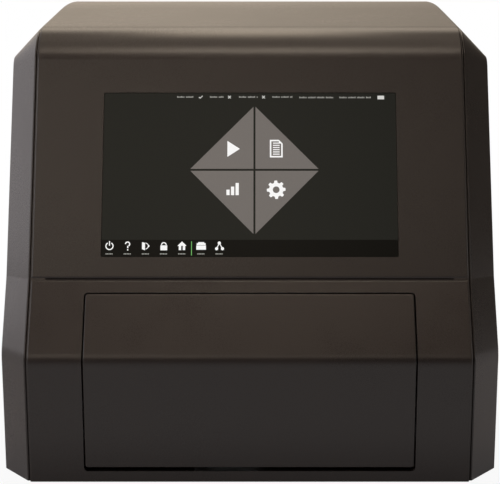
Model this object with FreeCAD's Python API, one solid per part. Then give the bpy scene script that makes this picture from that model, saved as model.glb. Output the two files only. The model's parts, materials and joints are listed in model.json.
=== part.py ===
import FreeCAD, Part

import math
import os

# A bench-top point-of-care analyzer. All sizes are in millimetres.
# Every sub-part is drawn with x to the right, y measured back from the ridge of the
# front and z up from the underside of the cabinet. save() then moves it into the part's
# own frame: its origin is under the middle of the object, on the surface it stands on.

# Cabinet; the height is that of the top's back edge
WIDTH = 573.0
DEPTH = 535.0
HEIGHT = 602.0
SIDE_WIDTH = 41.5
FOOT_HEIGHT = 5.0
FOOT_RADIUS = 16.0
FOOT_INSET = 46.0

# Side view of the front and top: the front leans back above and below a ridge
LIP_SETBACK = 30.0
RIDGE_HEIGHT = 138.5
FASCIA_LEAN = 19.9
KNEE_HEIGHT = 225.5
FACE_LEAN = 10.3
BROW_DROP = 91.8
TOP_SLOPE = 15.3
REAR_SLOPE = 3.0
RIDGE_RADIUS = 28.0
BROW_RADIUS = 55.0
CREST_RADIUS = 1100.0

# Moulded covers
WALL = 4.0
FLANGE_DEPTH = 14.0
FLANGE_WALL = 3.0
EDGE_RADIUS = 2.5
SEAM_GAP = 1.1
SEAT = 0.3
SIDE_STEP = 1.6
SIDE_SETBACK = 78.0
SIDE_FALL = 43.0
SIDE_BROW_RADIUS = 14.0
SIDE_EDGE_RADIUS = 4.0
SIDE_SEAM_RADIUS = 1.5
FASCIA_DEPTH = 70.0
BOSS_RADIUS = 6.0
BOSS_FRONT = 150.0
BOSS_BACK = 60.0
BOSS_LOW = 170.0
BOSS_BELOW_BROW = 90.0
VENT_COUNT = 9
VENT_WIDTH = 3.5
VENT_HEIGHT = 70.0
VENT_PITCH = 10.0
VENT_FROM_BACK = 60.0
VENT_BASE = 60.0

# Sheet metal
SHEET = 2.0
CHASSIS_INSET = 19.0
CHASSIS_FLANGE = 12.0
DECK_HEIGHT = 222.0
DECK_FRONT = 62.0
DECK_LIP = 10.0
REAR_MARGIN = 2.0
LIGHTENING_HOLE = 22.0
LIGHTENING_PITCH = 74.0
LIGHTENING_FRONT = 130.0
LIGHTENING_ABOVE_DECK = 100.0
LIGHTENING_ROWS = 2

# Screen, centred on the leaning face
SCREEN_WIDTH = 334.0
SCREEN_HEIGHT = 190.0
SCREEN_ABOVE_KNEE = 118.4
SCREEN_CORNER = 1.5
GLASS_RECESS = 1.2
GLASS_THICKNESS = 1.8
GLASS_CLEARANCE = 0.4
GASKET_THICKNESS = 0.8
GASKET_WIDTH = 6.0
LEDGE_WIDTH = 7.0
LEDGE_THICKNESS = 3.0
LCD_THICKNESS = 9.0
LCD_MARGIN = 5.0
BRACKET_HEIGHT = 150.0
BRACKET_RAIL = 20.0
BRACKET_EAR = 16.0
BOARD_THICKNESS = 1.6
BOARD_SPACER = 6.0
DRIVER_HALF = 150.0
DRIVER_LOW = -70.0
DRIVER_HEIGHT = 30.0
DRIVER_CHIP_PITCH = 45.0

# Drawer
DRAWER_MARGIN = 62.0
DRAWER_BASE = 16.7
DRAWER_TOP = 209.7
DRAWER_GAP = 1.5
DRAWER_GAP_BELOW = 4.5
DRAWER_CORNER = 3.0
DRAWER_EDGE = 1.5
DRAWER_RETURN = 18.0
DRAWER_BOSS_INSET = 41.3
DRAWER_BOSS_LOW = 60.0
DRAWER_BOSS_DROP = 15.0
TUNNEL_DEPTH = 26.0
TUNNEL_WALL = 3.0
DRAWER_TRAVEL = 230.0
TRAY_FRONT = 26.0
TRAY_SIDE_SPACE = 11.7
TRAY_BACK_SPACE = 16.0
TRAY_FLOOR = 40.0
TRAY_RIM = 92.0
TRAY_FRONT_TOP = 150.0
NEST_SIDE_SPACE = 21.3
NEST_FRONT = 60.0
NEST_LENGTH = 290.0
NEST_HEIGHT = 32.0
HEATER_THICKNESS = 8.0
HEATER_INSET = 8.0
HEATER_GROOVES = 6
GROOVE_INSET = 32.0
GROOVE_WIDTH = 4.0
GROOVE_DEPTH = 2.0
BAY_WIDTH = 62.0
BAY_LENGTH = 240.0
BAY_DEPTH = 16.0
BAY_CENTRE = 85.0
STRIP_WIDTH = 40.0
STRIP_LENGTH = 200.0
STRIP_DEPTH = 24.0
BAY_CORNER = 3.0
THUMB_RADIUS = 12.0

# Telescopic slides, three members a side
SLIDE_THICKNESS = 12.7
SLIDE_HEIGHT = 45.0
SLIDE_SHEET = 1.5
SLIDE_PLAY = 0.25
SLIDE_CENTRE = 66.0
SLIDE_FRONT = 44.0
SLIDE_SCREW = 3.5
SLIDE_SCREW_INSET = 40.0

# Rack and pinion that drive the drawer
MODULE = 1.5
PINION_TEETH = 18
RACK_WIDTH = 8.0
RACK_TEETH_AHEAD = 5
RACK_TEETH_SPARE = 2
RACK_HEIGHT = 8.0
RACK_X = -60.0
PRESSURE_ANGLE = 20.0
BACKLASH = 0.25
PINION_Y = 92.0
PINION_BORE = 2.5
HUB_WALL = 3.0
HUB_LENGTH = 5.0
MOTOR_RADIUS = 14.0
MOTOR_LENGTH = 56.0
MOTOR_NOSE = 6.0

# Rear fittings
FITTING_PROUD = 2.0
FAN_SIZE = 120.0
FAN_DEPTH = 25.0
FAN_BORE = 57.0
FAN_HUB = 20.0
FAN_BLADES = 7
FAN_TIP_GAP = 1.5
FAN_X = 120.0
FAN_Z = 400.0
FAN_SHAFT = 2.0
FAN_STRUT = 4.0
FAN_HOLE_SPACING = 105.0
GRILLE_RINGS = 6
GRILLE_PITCH = 7.4
GRILLE_SLOT = 3.8
GRILLE_SPOKE = 16.0
INLET_INSET = 36.0
INLET_Z = 70.0
INLET_DEPTH = 26.0
INLET_WIDTH = 30.0
INLET_HEIGHT = 62.0
INLET_FLANGE = 8.0
SOCKET_WIDTH = 24.4
SOCKET_HEIGHT = 16.8
SOCKET_DEPTH = 19.0
SOCKET_Z = -19.0
ROCKER_Z = 18.0
ROCKER_WIDTH = 20.0
ROCKER_HALF = 8.0
ROCKER_TILT = 8.0
ROCKER_PIN = 1.5
ROCKER_GAP = 0.4
ROCKER_PIN_REACH = 1.6
ROCKER_AXIS_DEPTH = 4.2
FUSE_Z = -1.5
FUSE_HALF = 10.0
FUSE_HALF_HEIGHT = 3.5
FUSE_GAP = 0.1
PORT_Z = 236.0
PORT_WIDTH = 16.0
PORT_HEIGHT = 14.0
PORT_DEPTH = 18.0
PORT_PITCH = 30.0
PORT_INSET = 50.0
CUT_OUT_GAP = 0.2
SCREW_HEAD = 3.2
SCREW_SHANK = 1.5
CROSS_HALF = 1.6
CROSS_WIDTH = 0.7
SCREW_EDGE = 12.0
SCREW_SIDE_EDGE = 13.0
SCREW_SEAM_INSET = 85.0
SCREW_SIDE_LOW = 40.0
REAR_VENT_COUNT = 12
REAR_VENT_PITCH = 12.0
REAR_VENT_START = -60.0
RUNNING_GAP = 0.05

# Electronics
MAIN_BOARD_WIDTH = 220.0
MAIN_BOARD_LENGTH = 153.0
MAIN_BOARD_BACK = 8.0
SPACER_RADIUS = 3.5
SPACER_INSET = 10.0
SINK_SIZE = 40.0
SINK_BASE = 4.0
SINK_HEIGHT = 20.0
SINK_FINS = 8
SINK_PITCH = 5.0
SUPPLY_HALF = 110.0
SUPPLY_LENGTH = 90.7
SUPPLY_TOP = 64.0
SUPPLY_SLOTS = 14
SUPPLY_SLOT_PITCH = 14.0

# Dispensing gantry, above the deck
BEAM_INSET = 26.0
BEAM_WALL = 6.0
BEAM_SLOT = 8.0
BEAM_FRONT = 190.0
BEAM_DEPTH = 30.0
BEAM_BASE = 290.0
BEAM_HEIGHT = 40.0
POST_THICKNESS = 10.0
RAIL_WIDTH = 12.0
RAIL_DEPTH = 8.0
SLIDING_GAP = 0.08
CARRIAGE_HALF = 30.0
CARRIAGE_DEPTH = 17.0
RAIL_INSET = 12.0
PULLEY_RADIUS = 8.0
PULLEY_INSET = 22.0
PULLEY_FLANGE = 2.2
BELT_WIDTH = 6.0
BELT_THICKNESS = 1.4
BELT_GAP = 0.3
STEPPER_SIZE = 42.0
STEPPER_LENGTH = 34.0
STEPPER_SHAFT = 2.5
STEPPER_BOSS = 11.0
MAST_HEIGHT = 108.0
MAST_HALF = 22.0
MAST_THICKNESS = 12.0
HEAD_TRAVEL = 65.0
HEAD_HEIGHT = 50.0
HEAD_HALF = 20.0
PROBE_RADIUS = 3.0
PROBE_TIP = 170.0
PROBE_SETBACK = 10.0
SLOT_INSET = 35.0
SLOT_FRONT = 50.0
SLOT_BACK = 27.0

# Imaging camera, above the rear of the nest
CAMERA_FROM_BACK = 211.0
SHROUD_BASE_RADIUS = 44.0
SHROUD_TOP_RADIUS = 30.0
SHROUD_HEIGHT = 76.0
LENS_RADIUS = 24.0
LENS_HEIGHT = 44.0
CAMERA_SIZE = 58.0
CAMERA_HEIGHT = 46.0
CAMERA_FINS = 5
FIN_PITCH = 5.0
FIN_GROOVE = 2.5
FIN_DEPTH = 3.0

# A corner's arc takes at most this share of the edges beside it
ARC_SHARE = 0.97

# Worked-out places
BODY_DEPTH = DEPTH - FITTING_PROUD - SHEET
REAR_FACE = DEPTH - FITTING_PROUD
HOOD_HALF = WIDTH / 2 - SIDE_WIDTH
PANEL_INNER = HOOD_HALF + SEAM_GAP
PANEL_WIDTH = WIDTH / 2 - PANEL_INNER
CHASSIS_HALF = HOOD_HALF - CHASSIS_INSET
BROW_HEIGHT = HEIGHT - BROW_DROP
SCREEN_CENTRE = KNEE_HEIGHT + SCREEN_ABOVE_KNEE
LIP_LEAN = math.degrees(math.atan(LIP_SETBACK / RIDGE_HEIGHT))
PAN_FRONT = LIP_SETBACK + FLANGE_DEPTH / math.cos(math.radians(LIP_LEAN)) + SEAT
KNEE_Y = (KNEE_HEIGHT - RIDGE_HEIGHT) * math.tan(math.radians(FASCIA_LEAN))
BROW_Y = KNEE_Y + (BROW_HEIGHT - KNEE_HEIGHT) * math.tan(math.radians(FACE_LEAN))
TOP_RISE = math.tan(math.radians(TOP_SLOPE))
REAR_RISE = math.tan(math.radians(REAR_SLOPE))
CREST_Y = (BROW_DROP + BROW_Y * TOP_RISE - BODY_DEPTH * REAR_RISE) / (TOP_RISE - REAR_RISE)
CREST_HEIGHT = HEIGHT - (BODY_DEPTH - CREST_Y) * REAR_RISE
FRONT_LEANS = [LIP_LEAN, FASCIA_LEAN, FACE_LEAN]
# The ridge is rounded, so the front-most line lies this far behind its sharp corner
RIDGE_SINES = math.sin(math.radians(LIP_LEAN)) + math.sin(math.radians(FASCIA_LEAN))
RIDGE_FRONT = RIDGE_RADIUS * (RIDGE_SINES / math.sin(math.radians(LIP_LEAN + FASCIA_LEAN)) - 1)
PROFILE = [
    (LIP_SETBACK, 0.0),
    (0.0, RIDGE_HEIGHT),
    (KNEE_Y, KNEE_HEIGHT),
    (BROW_Y, BROW_HEIGHT),
    (CREST_Y, CREST_HEIGHT),
    (BODY_DEPTH, HEIGHT),
    (BODY_DEPTH, 0.0),
]
NEST_BASE = TRAY_FLOOR + SHEET + HEATER_THICKNESS
NEST_TOP = NEST_BASE + NEST_HEIGHT
DRAWER_HALF = HOOD_HALF - DRAWER_MARGIN
TRAY_HALF = DRAWER_HALF - TRAY_SIDE_SPACE
NEST_HALF = TRAY_HALF - NEST_SIDE_SPACE
SUPPLY_FRONT = BODY_DEPTH - SEAT - SUPPLY_LENGTH
TRAY_BACK = SUPPLY_FRONT - TRAY_BACK_SPACE
SLIDE_LENGTH = TRAY_BACK - SLIDE_FRONT
SLIDE_LIMITS = (SLIDE_FRONT, TRAY_BACK)
PITCH_RADIUS = MODULE * PINION_TEETH / 2
RACK_PITCH_LINE = TRAY_FLOOR - RACK_HEIGHT + 1.25 * MODULE
PINION_Z = RACK_PITCH_LINE - PITCH_RADIUS
SLIDE_WALL = TRAY_HALF + SLIDE_THICKNESS
INLET_X = INLET_INSET - CHASSIS_HALF
BOARD_LEFT = BEAM_INSET - CHASSIS_HALF
BEAM_HALF = CHASSIS_HALF - BEAM_INSET
PULLEY_X = BEAM_HALF - PULLEY_INSET
SLOT_HALF = BEAM_HALF - SLOT_INSET
CAMERA_Y = BODY_DEPTH - CAMERA_FROM_BACK
PULLEY_Z = BEAM_BASE + BEAM_HEIGHT + STEPPER_SIZE / 2 + SEAT
RAIL_Z = BEAM_BASE + BEAM_HEIGHT / 2
RAIL_FRONT = BEAM_FRONT - RAIL_DEPTH
CARRIAGE_FRONT = RAIL_FRONT - CARRIAGE_DEPTH + RAIL_DEPTH - SEAT
MAST_FRONT = CARRIAGE_FRONT - MAST_THICKNESS
MAST_RAIL_FRONT = MAST_FRONT - RAIL_DEPTH
HEAD_BASE = BEAM_BASE + MAST_HEIGHT - HEAD_HEIGHT
PROBE_Y = MAST_RAIL_FRONT - PROBE_SETBACK


def vec(x, y, z):
    return FreeCAD.Vector(x, y, z)


def outline(points, radii, put):
    """Closed wire through the points, each corner rounded by its radius."""
    corners = [FreeCAD.Vector(a, b, 0) for a, b in points]
    marks = []
    for i, at in enumerate(corners):
        radius = radii[i]
        if radius <= 0:
            marks.append((at, None, at))
            continue
        u = corners[i - 1] - at
        w = corners[(i + 1) % len(corners)] - at
        room = ARC_SHARE * min(u.Length, w.Length)
        u.normalize()
        w.normalize()
        half = u.getAngle(w) / 2
        radius = min(radius, room * math.tan(half))
        reach = radius / math.tan(half)
        middle = at + (u + w).normalize() * (radius / math.sin(half) - radius)
        marks.append((at + u * reach, middle, at + w * reach))
    edges = []
    for i, (start, middle, end) in enumerate(marks):
        if middle is not None:
            edges.append(Part.Arc(put(start), put(middle), put(end)).toShape())
        after = marks[(i + 1) % len(marks)][0]
        if end.distanceToPoint(after) > 1e-6:
            edges.append(Part.LineSegment(put(end), put(after)).toShape())
    return Part.Wire(edges)


def inset(points, amounts):
    """Polygon whose edges have moved in by their amounts; the points run clockwise."""
    lines = []
    for i, (a, b) in enumerate(points):
        c, d = points[(i + 1) % len(points)]
        length = math.hypot(c - a, d - b)
        u, v = (c - a) / length, (d - b) / length
        lines.append((a + v * amounts[i], b - u * amounts[i], u, v))
    moved = []
    for i, (a, b, u, v) in enumerate(lines):
        c, d, p, q = lines[i - 1]
        t = ((c - a) * q - (d - b) * p) / (u * q - v * p)
        moved.append((a + u * t, b + v * t))
    return moved


def prism_x(points, radii, x0, x1):
    """Solid with this side view, from x0 to x1."""
    wire = outline(points, radii, lambda p: vec(x0, p.x, p.y))
    return Part.Face(wire).extrude(vec(x1 - x0, 0, 0))


def slab(x, y, z, radius=0.0, along="z"):
    """Block between pairs of limits, its four edges along one axis rounded."""
    limits = {"x": x, "y": y, "z": z}
    a, b = [limits[name] for name in "xyz" if name != along]
    low, high = limits[along]
    place = {
        "x": lambda p: vec(low, p.x, p.y),
        "y": lambda p: vec(p.x, low, p.y),
        "z": lambda p: vec(p.x, p.y, low),
    }[along]
    points = [(a[0], b[0]), (a[1], b[0]), (a[1], b[1]), (a[0], b[1])]
    reach = {"x": vec(1, 0, 0), "y": vec(0, 1, 0), "z": vec(0, 0, 1)}[along]
    return Part.Face(outline(points, [radius] * 4, place)).extrude(reach * (high - low))


def rod(radius, start, reach):
    """Cylinder from a point along a vector."""
    return Part.makeCylinder(radius, reach.Length, start, reach)


def join(shapes):
    return shapes[0].multiFuse(shapes[1:]).removeSplitter()


def mirrored(shape):
    return shape.mirror(vec(0, 0, 0), vec(1, 0, 0))


def edges_where(shape, test):
    return [edge for edge in shape.Edges if test(edge.BoundBox)]


def cabinet(front, top, back, base):
    """Side view of the whole cabinet, its faces moved in by these amounts."""
    return inset(PROFILE, [front, front, front, top, top, back, base])


def cabinet_radii(moved=0.0):
    ridge = max(RIDGE_RADIUS - moved, 0.0)
    return [0.0, ridge, 0.0, BROW_RADIUS - moved, CREST_RADIUS - moved, 0.0, 0.0]


def face_y(height):
    """Depth of the hood's leaning face at a height."""
    return KNEE_Y + (height - KNEE_HEIGHT) * math.tan(math.radians(FACE_LEAN))


def fascia_y(height):
    """Depth of the fascia between ridge and knee at a height."""
    return (height - RIDGE_HEIGHT) * math.tan(math.radians(FASCIA_LEAN))


def hood_points(front, back, base):
    """Side view of the hood, which ends above the seam."""
    low = KNEE_HEIGHT + SEAM_GAP / 2
    points = [
        (face_y(low), low),
        (BROW_Y, BROW_HEIGHT),
        (CREST_Y, CREST_HEIGHT),
        (BODY_DEPTH, HEIGHT),
        (BODY_DEPTH, low),
    ]
    return inset(points, [front, front, front, back, base])


def fascia_points(front, top, back, base):
    """Side view of the lower fascia, which ends below the seam."""
    high = KNEE_HEIGHT - SEAM_GAP / 2
    points = [
        (LIP_SETBACK, 0.0),
        (0.0, RIDGE_HEIGHT),
        (fascia_y(high), high),
        (FASCIA_DEPTH, high),
        (FASCIA_DEPTH, 0.0),
    ]
    return inset(points, [front, front, top, back, base])


def on_face(shape):
    """Turns a shape drawn upright at y = 0 onto the leaning face, round the screen's centre."""
    turned = shape.copy()
    turned.rotate(vec(0, 0, 0), vec(1, 0, 0), -FACE_LEAN)
    turned.translate(vec(0, face_y(SCREEN_CENTRE), SCREEN_CENTRE))
    return turned


def window(grow, y0, y1, corner=SCREEN_CORNER):
    """Upright block of the screen's outline, larger by grow on every side."""
    half = SCREEN_WIDTH / 2 + grow
    tall = SCREEN_HEIGHT / 2 + grow
    return slab((-half, half), (y0, y1), (-tall, tall), corner, "y")


def hood():
    radii = [0.0, BROW_RADIUS, CREST_RADIUS, 0.0, 0.0]
    outer = prism_x(hood_points(0, 0, 0), radii, -HOOD_HALF, HOOD_HALF)
    seam = KNEE_HEIGHT + SEAM_GAP / 2
    rims = edges_where(
        outer,
        lambda b: (b.XLength < 1e-3 and b.YMin < BODY_DEPTH - 1 and b.ZMax > seam + 1)
        or (b.XLength > HOOD_HALF and b.ZMax < seam + 1 and b.YMax < FASCIA_DEPTH),
    )
    outer = outer.makeFillet(EDGE_RADIUS, rims)
    inner_radii = [0.0, BROW_RADIUS - WALL, CREST_RADIUS - WALL, 0.0, 0.0]
    inner_half = HOOD_HALF - FLANGE_WALL
    inner = prism_x(hood_points(WALL, -1, WALL), inner_radii, -inner_half, inner_half)
    flange_radii = [0.0, BROW_RADIUS - FLANGE_DEPTH, CREST_RADIUS - FLANGE_DEPTH, 0.0, 0.0]
    through = prism_x(
        hood_points(FLANGE_DEPTH, -1, -1), flange_radii, -HOOD_HALF - 1, HOOD_HALF + 1
    )
    ledge_front = GLASS_RECESS + GLASS_THICKNESS + GASKET_THICKNESS
    ledge = window(LEDGE_WIDTH, ledge_front, ledge_front + LEDGE_THICKNESS)
    shell = join([outer.cut(inner).cut(through), on_face(ledge)])
    pocket = on_face(window(0, -WALL, ledge_front))
    opening = on_face(window(-LEDGE_WIDTH, -WALL, FLANGE_DEPTH))
    return shell.cut(pocket).cut(opening)


def drawer_outline(grow, y0, y1, corner):
    half = DRAWER_HALF + grow
    low = DRAWER_BASE - grow
    return slab((-half, half), (y0, y1), (low, DRAWER_TOP + grow), corner, "y")


def drawer_opening(y0, y1, grow=0.0):
    half = DRAWER_HALF + DRAWER_GAP + grow
    low = DRAWER_BASE - DRAWER_GAP_BELOW - grow
    high = DRAWER_TOP + DRAWER_GAP + grow
    return slab((-half, half), (y0, y1), (low, high), DRAWER_CORNER + DRAWER_GAP + grow, "y")


def folded_layer(start, end, half):
    """The layer of the lower front between two depths under its folded surface."""
    radii = [0.0, max(RIDGE_RADIUS - start, 0.0), 0.0, 0.0, 0.0]
    layer = prism_x(fascia_points(start, 0, 0, 0), radii, -half, half)
    deep_radii = [0.0, max(RIDGE_RADIUS - end, 0.0), 0.0, 0.0, 0.0]
    deep = prism_x(fascia_points(end, -1, -1, -1), deep_radii, -half - 1, half + 1)
    return layer.cut(deep)


def lower_fascia():
    radii = [0.0, RIDGE_RADIUS, 0.0, 0.0, 0.0]
    outer = prism_x(fascia_points(0, 0, 0, 0), radii, -HOOD_HALF, HOOD_HALF)
    seam = KNEE_HEIGHT - SEAM_GAP / 2
    rims = edges_where(
        outer,
        lambda b: (b.XLength < 1e-3 and b.YMax < FASCIA_DEPTH - 1 and b.ZLength > 1)
        or (b.XLength > HOOD_HALF and b.ZMin > seam - 1 and b.YMax < FASCIA_DEPTH - 1),
    )
    outer = outer.makeFillet(EDGE_RADIUS, rims)
    inner_radii = [0.0, RIDGE_RADIUS - WALL, 0.0, 0.0, 0.0]
    inner_half = HOOD_HALF - FLANGE_WALL
    inner = prism_x(fascia_points(WALL, WALL, -1, WALL), inner_radii, -inner_half, inner_half)
    through = prism_x(
        fascia_points(FLANGE_DEPTH, -1, -1, -1), [0.0] * 5, -HOOD_HALF - 1, HOOD_HALF + 1
    )
    tunnel_outer = drawer_opening(-1, FASCIA_DEPTH, TUNNEL_WALL)
    tunnel = folded_layer(WALL / 2, TUNNEL_DEPTH, HOOD_HALF).common(tunnel_outer)
    shell = join([outer.cut(inner).cut(through), tunnel])
    return shell.cut(drawer_opening(-1, FASCIA_DEPTH))


def side_points(x, wall):
    """Side view of the right side panel at x, inside a wall of this thickness."""
    share = (x - PANEL_INNER) / PANEL_WIDTH
    front = SIDE_STEP + share * SIDE_SETBACK
    front += wall * math.hypot(PANEL_WIDTH, SIDE_SETBACK) / PANEL_WIDTH
    fall = SIDE_STEP + share * SIDE_FALL
    fall += wall * math.hypot(PANEL_WIDTH, SIDE_FALL) / PANEL_WIDTH
    amounts = [front * math.cos(math.radians(lean)) for lean in FRONT_LEANS]
    amounts += [fall * math.cos(math.radians(TOP_SLOPE)), fall, wall, wall]
    return inset(PROFILE, amounts)


def side_radii(x, wall):
    share = (x - PANEL_INNER) / PANEL_WIDTH
    brow = BROW_RADIUS + share * (SIDE_BROW_RADIUS - BROW_RADIUS) - wall
    return [0.0, RIDGE_RADIUS - wall / 2, 0.0, brow, CREST_RADIUS - wall, 0.0, 0.0]


def side_loft(x0, x1, wall):
    sections = []
    for x in (x0, x1):
        wire = outline(side_points(x, wall), side_radii(x, wall), lambda p: vec(x, p.x, p.y))
        sections.append(wire)
    return Part.makeLoft(sections, True, True)


def vent_slots():
    """Air slots near the lower back corner of the side panel."""
    slots = []
    for i in range(VENT_COUNT):
        y = BODY_DEPTH - VENT_FROM_BACK - i * VENT_PITCH
        limits = (y - VENT_WIDTH / 2, y + VENT_WIDTH / 2)
        height = (VENT_BASE, VENT_BASE + VENT_HEIGHT)
        beyond = (WIDTH / 2 - 2 * WALL, WIDTH / 2 + 1)
        slots.append(slab(beyond, limits, height, VENT_WIDTH / 2 - 0.05, "x"))
    return Part.makeCompound(slots)


def side_bosses():
    """Posts that carry the panel on the chassis plate."""
    start = CHASSIS_HALF + SHEET
    reach = vec(WIDTH / 2 - WALL / 2 - start, 0, 0)
    bosses = []
    for y in (BOSS_FRONT, BODY_DEPTH - BOSS_BACK):
        for z in (BOSS_LOW, BROW_HEIGHT - BOSS_BELOW_BROW):
            bosses.append(rod(BOSS_RADIUS, vec(start, y, z), reach))
    return bosses


def side_panel():
    outside = WIDTH / 2
    outer = side_loft(PANEL_INNER, outside, 0.0)
    rims = edges_where(outer, lambda b: b.XMin > outside - 0.01 and b.YMin < BODY_DEPTH - 1)
    rims = [e for e in rims if e.BoundBox.ZMax > 1]
    outer = outer.makeFillet(SIDE_EDGE_RADIUS, rims)
    seam = edges_where(outer, lambda b: b.XMax < PANEL_INNER + 0.01 and b.YMin < BODY_DEPTH - 1)
    seam = [e for e in seam if e.BoundBox.ZMax > 1]
    outer = outer.makeFillet(SIDE_SEAM_RADIUS, seam)
    cavity = side_loft(PANEL_INNER + FLANGE_WALL, outside - WALL, WALL)
    rim_points = inset(side_points(PANEL_INNER, 0.0), [FLANGE_DEPTH] * 7)
    radii = [0.0, 0.0, 0.0, BROW_RADIUS - FLANGE_DEPTH, CREST_RADIUS - FLANGE_DEPTH, 0.0, 0.0]
    through = prism_x(rim_points, radii, PANEL_INNER - 1, PANEL_INNER + 2 * FLANGE_WALL)
    shell = outer.cut(cavity).cut(through).cut(vent_slots())
    return join([shell] + side_bosses())


def chassis_plate():
    """Right-hand upright of sheet metal, with a turned flange that follows the covers."""
    start = WALL + SEAT
    outer_half = PANEL_INNER - FLANGE_WALL - SEAM_GAP
    flange_end = min(CHASSIS_HALF + SHEET + CHASSIS_FLANGE, outer_half - FLANGE_WALL)
    radii = cabinet_radii(start)
    outer = prism_x(cabinet(start, start, 0, SHEET), radii, CHASSIS_HALF, flange_end)
    deep = start + SHEET
    inner_points = cabinet(deep, deep, SHEET, 2 * SHEET)
    inner = prism_x(inner_points, cabinet_radii(deep), CHASSIS_HALF + SHEET, flange_end + 1)
    plate = outer.cut(inner)
    notch_depth = KNEE_Y + FLANGE_DEPTH + 2 * WALL
    play = SEAM_GAP / 2 + WALL + SEAT
    seam_notch = slab(
        (0, HOOD_HALF), (0, notch_depth), (KNEE_HEIGHT - play, KNEE_HEIGHT + play)
    )
    base_notch = slab((0, HOOD_HALF), (0, PAN_FRONT), (0, WALL + SEAT))
    room = BODY_DEPTH - LIGHTENING_FRONT - 2 * LIGHTENING_HOLE
    holes = []
    for i in range(int(room / LIGHTENING_PITCH) + 1):
        for j in range(LIGHTENING_ROWS):
            y = LIGHTENING_FRONT + i * LIGHTENING_PITCH
            z = DECK_HEIGHT + LIGHTENING_ABOVE_DECK + j * LIGHTENING_PITCH
            holes.append(rod(LIGHTENING_HOLE, vec(0, y, z), vec(HOOD_HALF, 0, 0)))
    return plate.cut(seam_notch).cut(base_notch).cut(Part.makeCompound(holes))


def deck():
    """Shelf between the uprights, with the dispensing slot and the camera's hole."""
    half = CHASSIS_HALF
    shelf = slab((-half, half), (DECK_FRONT, BODY_DEPTH), (DECK_HEIGHT, DECK_HEIGHT + SHEET))
    lip = slab(
        (-half, half),
        (DECK_FRONT, DECK_FRONT + SHEET),
        (DECK_HEIGHT - DECK_LIP, DECK_HEIGHT + SHEET),
    )
    slot_y = (PROBE_Y - SLOT_FRONT, PROBE_Y + SLOT_BACK)
    slot = slab((-SLOT_HALF, SLOT_HALF), slot_y, (0, HEIGHT), 8.0)
    sight = rod(SHROUD_BASE_RADIUS - 10.0, vec(0, CAMERA_Y, 0), vec(0, 0, HEIGHT))
    return join([shelf, lip]).cut(slot).cut(sight)


def foot_places():
    x = CHASSIS_HALF - FOOT_INSET / 2
    return {
        "foot_front_left": (-x, FOOT_INSET + LIP_SETBACK),
        "foot_front_right": (x, FOOT_INSET + LIP_SETBACK),
        "foot_back_left": (-x, BODY_DEPTH - FOOT_INSET),
        "foot_back_right": (x, BODY_DEPTH - FOOT_INSET),
    }


def foot(x, y):
    """Rubber foot: a turned pad with a plug that fills its hole in the base."""
    points = [
        vec(0, 0, -FOOT_HEIGHT),
        vec(FOOT_RADIUS - 1.5, 0, -FOOT_HEIGHT),
        vec(FOOT_RADIUS, 0, 1.5 - FOOT_HEIGHT),
        vec(FOOT_RADIUS - 1.0, 0, 0),
        vec(FOOT_RADIUS / 3 - RUNNING_GAP, 0, 0),
        vec(FOOT_RADIUS / 3 - RUNNING_GAP, 0, 2 * SHEET),
        vec(0, 0, 2 * SHEET),
    ]
    pad = Part.Face(Part.makePolygon(points + [points[0]])).revolve(vec(0, 0, 0), vec(0, 0, 1))
    pad.translate(vec(x, y, 0))
    return pad


def base_tray():
    """Base pan with upturned sides, air slots and the four foot holes."""
    half = PANEL_INNER - SEAT
    pan = slab((-half, half), (PAN_FRONT, BODY_DEPTH), (0, SHEET))
    cuts = []
    for x, y in foot_places().values():
        cuts.append(rod(FOOT_RADIUS / 3, vec(x, y, -1), vec(0, 0, SHEET + 2)))
    for i in range(VENT_COUNT):
        y = BODY_DEPTH - VENT_FROM_BACK / 2 - i * VENT_PITCH
        limits = (y - VENT_WIDTH / 2, y + VENT_WIDTH / 2)
        cuts.append(slab((-90, 90), limits, (-1, SHEET + 1), VENT_WIDTH / 2 - 0.05))
    return pan.cut(Part.makeCompound(cuts))


def rear_screw_places():
    """Three screws along the top and the bottom, and three up each side."""
    places = []
    spread = HOOD_HALF - SCREW_SEAM_INSET
    for x in (-spread, 0.0, spread):
        places.append((x, HEIGHT - SCREW_EDGE))
        places.append((x, SCREW_EDGE))
    side = WIDTH / 2 - SCREW_SIDE_EDGE
    high = rear_shoulder() - SCREW_EDGE
    for x in (-side, side):
        for z in (SCREW_SIDE_LOW, (SCREW_SIDE_LOW + high) / 2, high):
            places.append((x, z))
    return places


def rear_shoulder():
    """Height at which the rear panel's side edges end and its corners slope inward."""
    return HEIGHT - SIDE_FALL - SIDE_STEP - REAR_MARGIN


def grille_slots():
    """Rings of arc slots in front of the fan, with four spokes left between them."""
    rings = []
    for i in range(GRILLE_RINGS):
        radius = GRILLE_PITCH * (i + 1) + GRILLE_SLOT
        start = vec(FAN_X, BODY_DEPTH - 1, FAN_Z)
        outer = rod(radius + GRILLE_SLOT / 2, start, vec(0, SHEET + 2, 0))
        rings.append(outer.cut(rod(radius - GRILLE_SLOT / 2, start, vec(0, SHEET + 2, 0))))
    reach = FAN_BORE * 1.5
    thin = GRILLE_SPOKE / 4
    spokes = []
    for angle in (45, 135):
        bar = slab((-reach, reach), (BODY_DEPTH - 1, REAR_FACE + 1), (-thin, thin))
        bar.rotate(vec(0, 0, 0), vec(0, 1, 0), angle)
        bar.translate(vec(FAN_X, 0, FAN_Z))
        spokes.append(bar)
    return Part.makeCompound(rings).cut(Part.makeCompound(spokes))


def fan_screw_places():
    half = FAN_HOLE_SPACING / 2
    return [(FAN_X + a * half, FAN_Z + b * half) for a in (-1, 1) for b in (-1, 1)]


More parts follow.
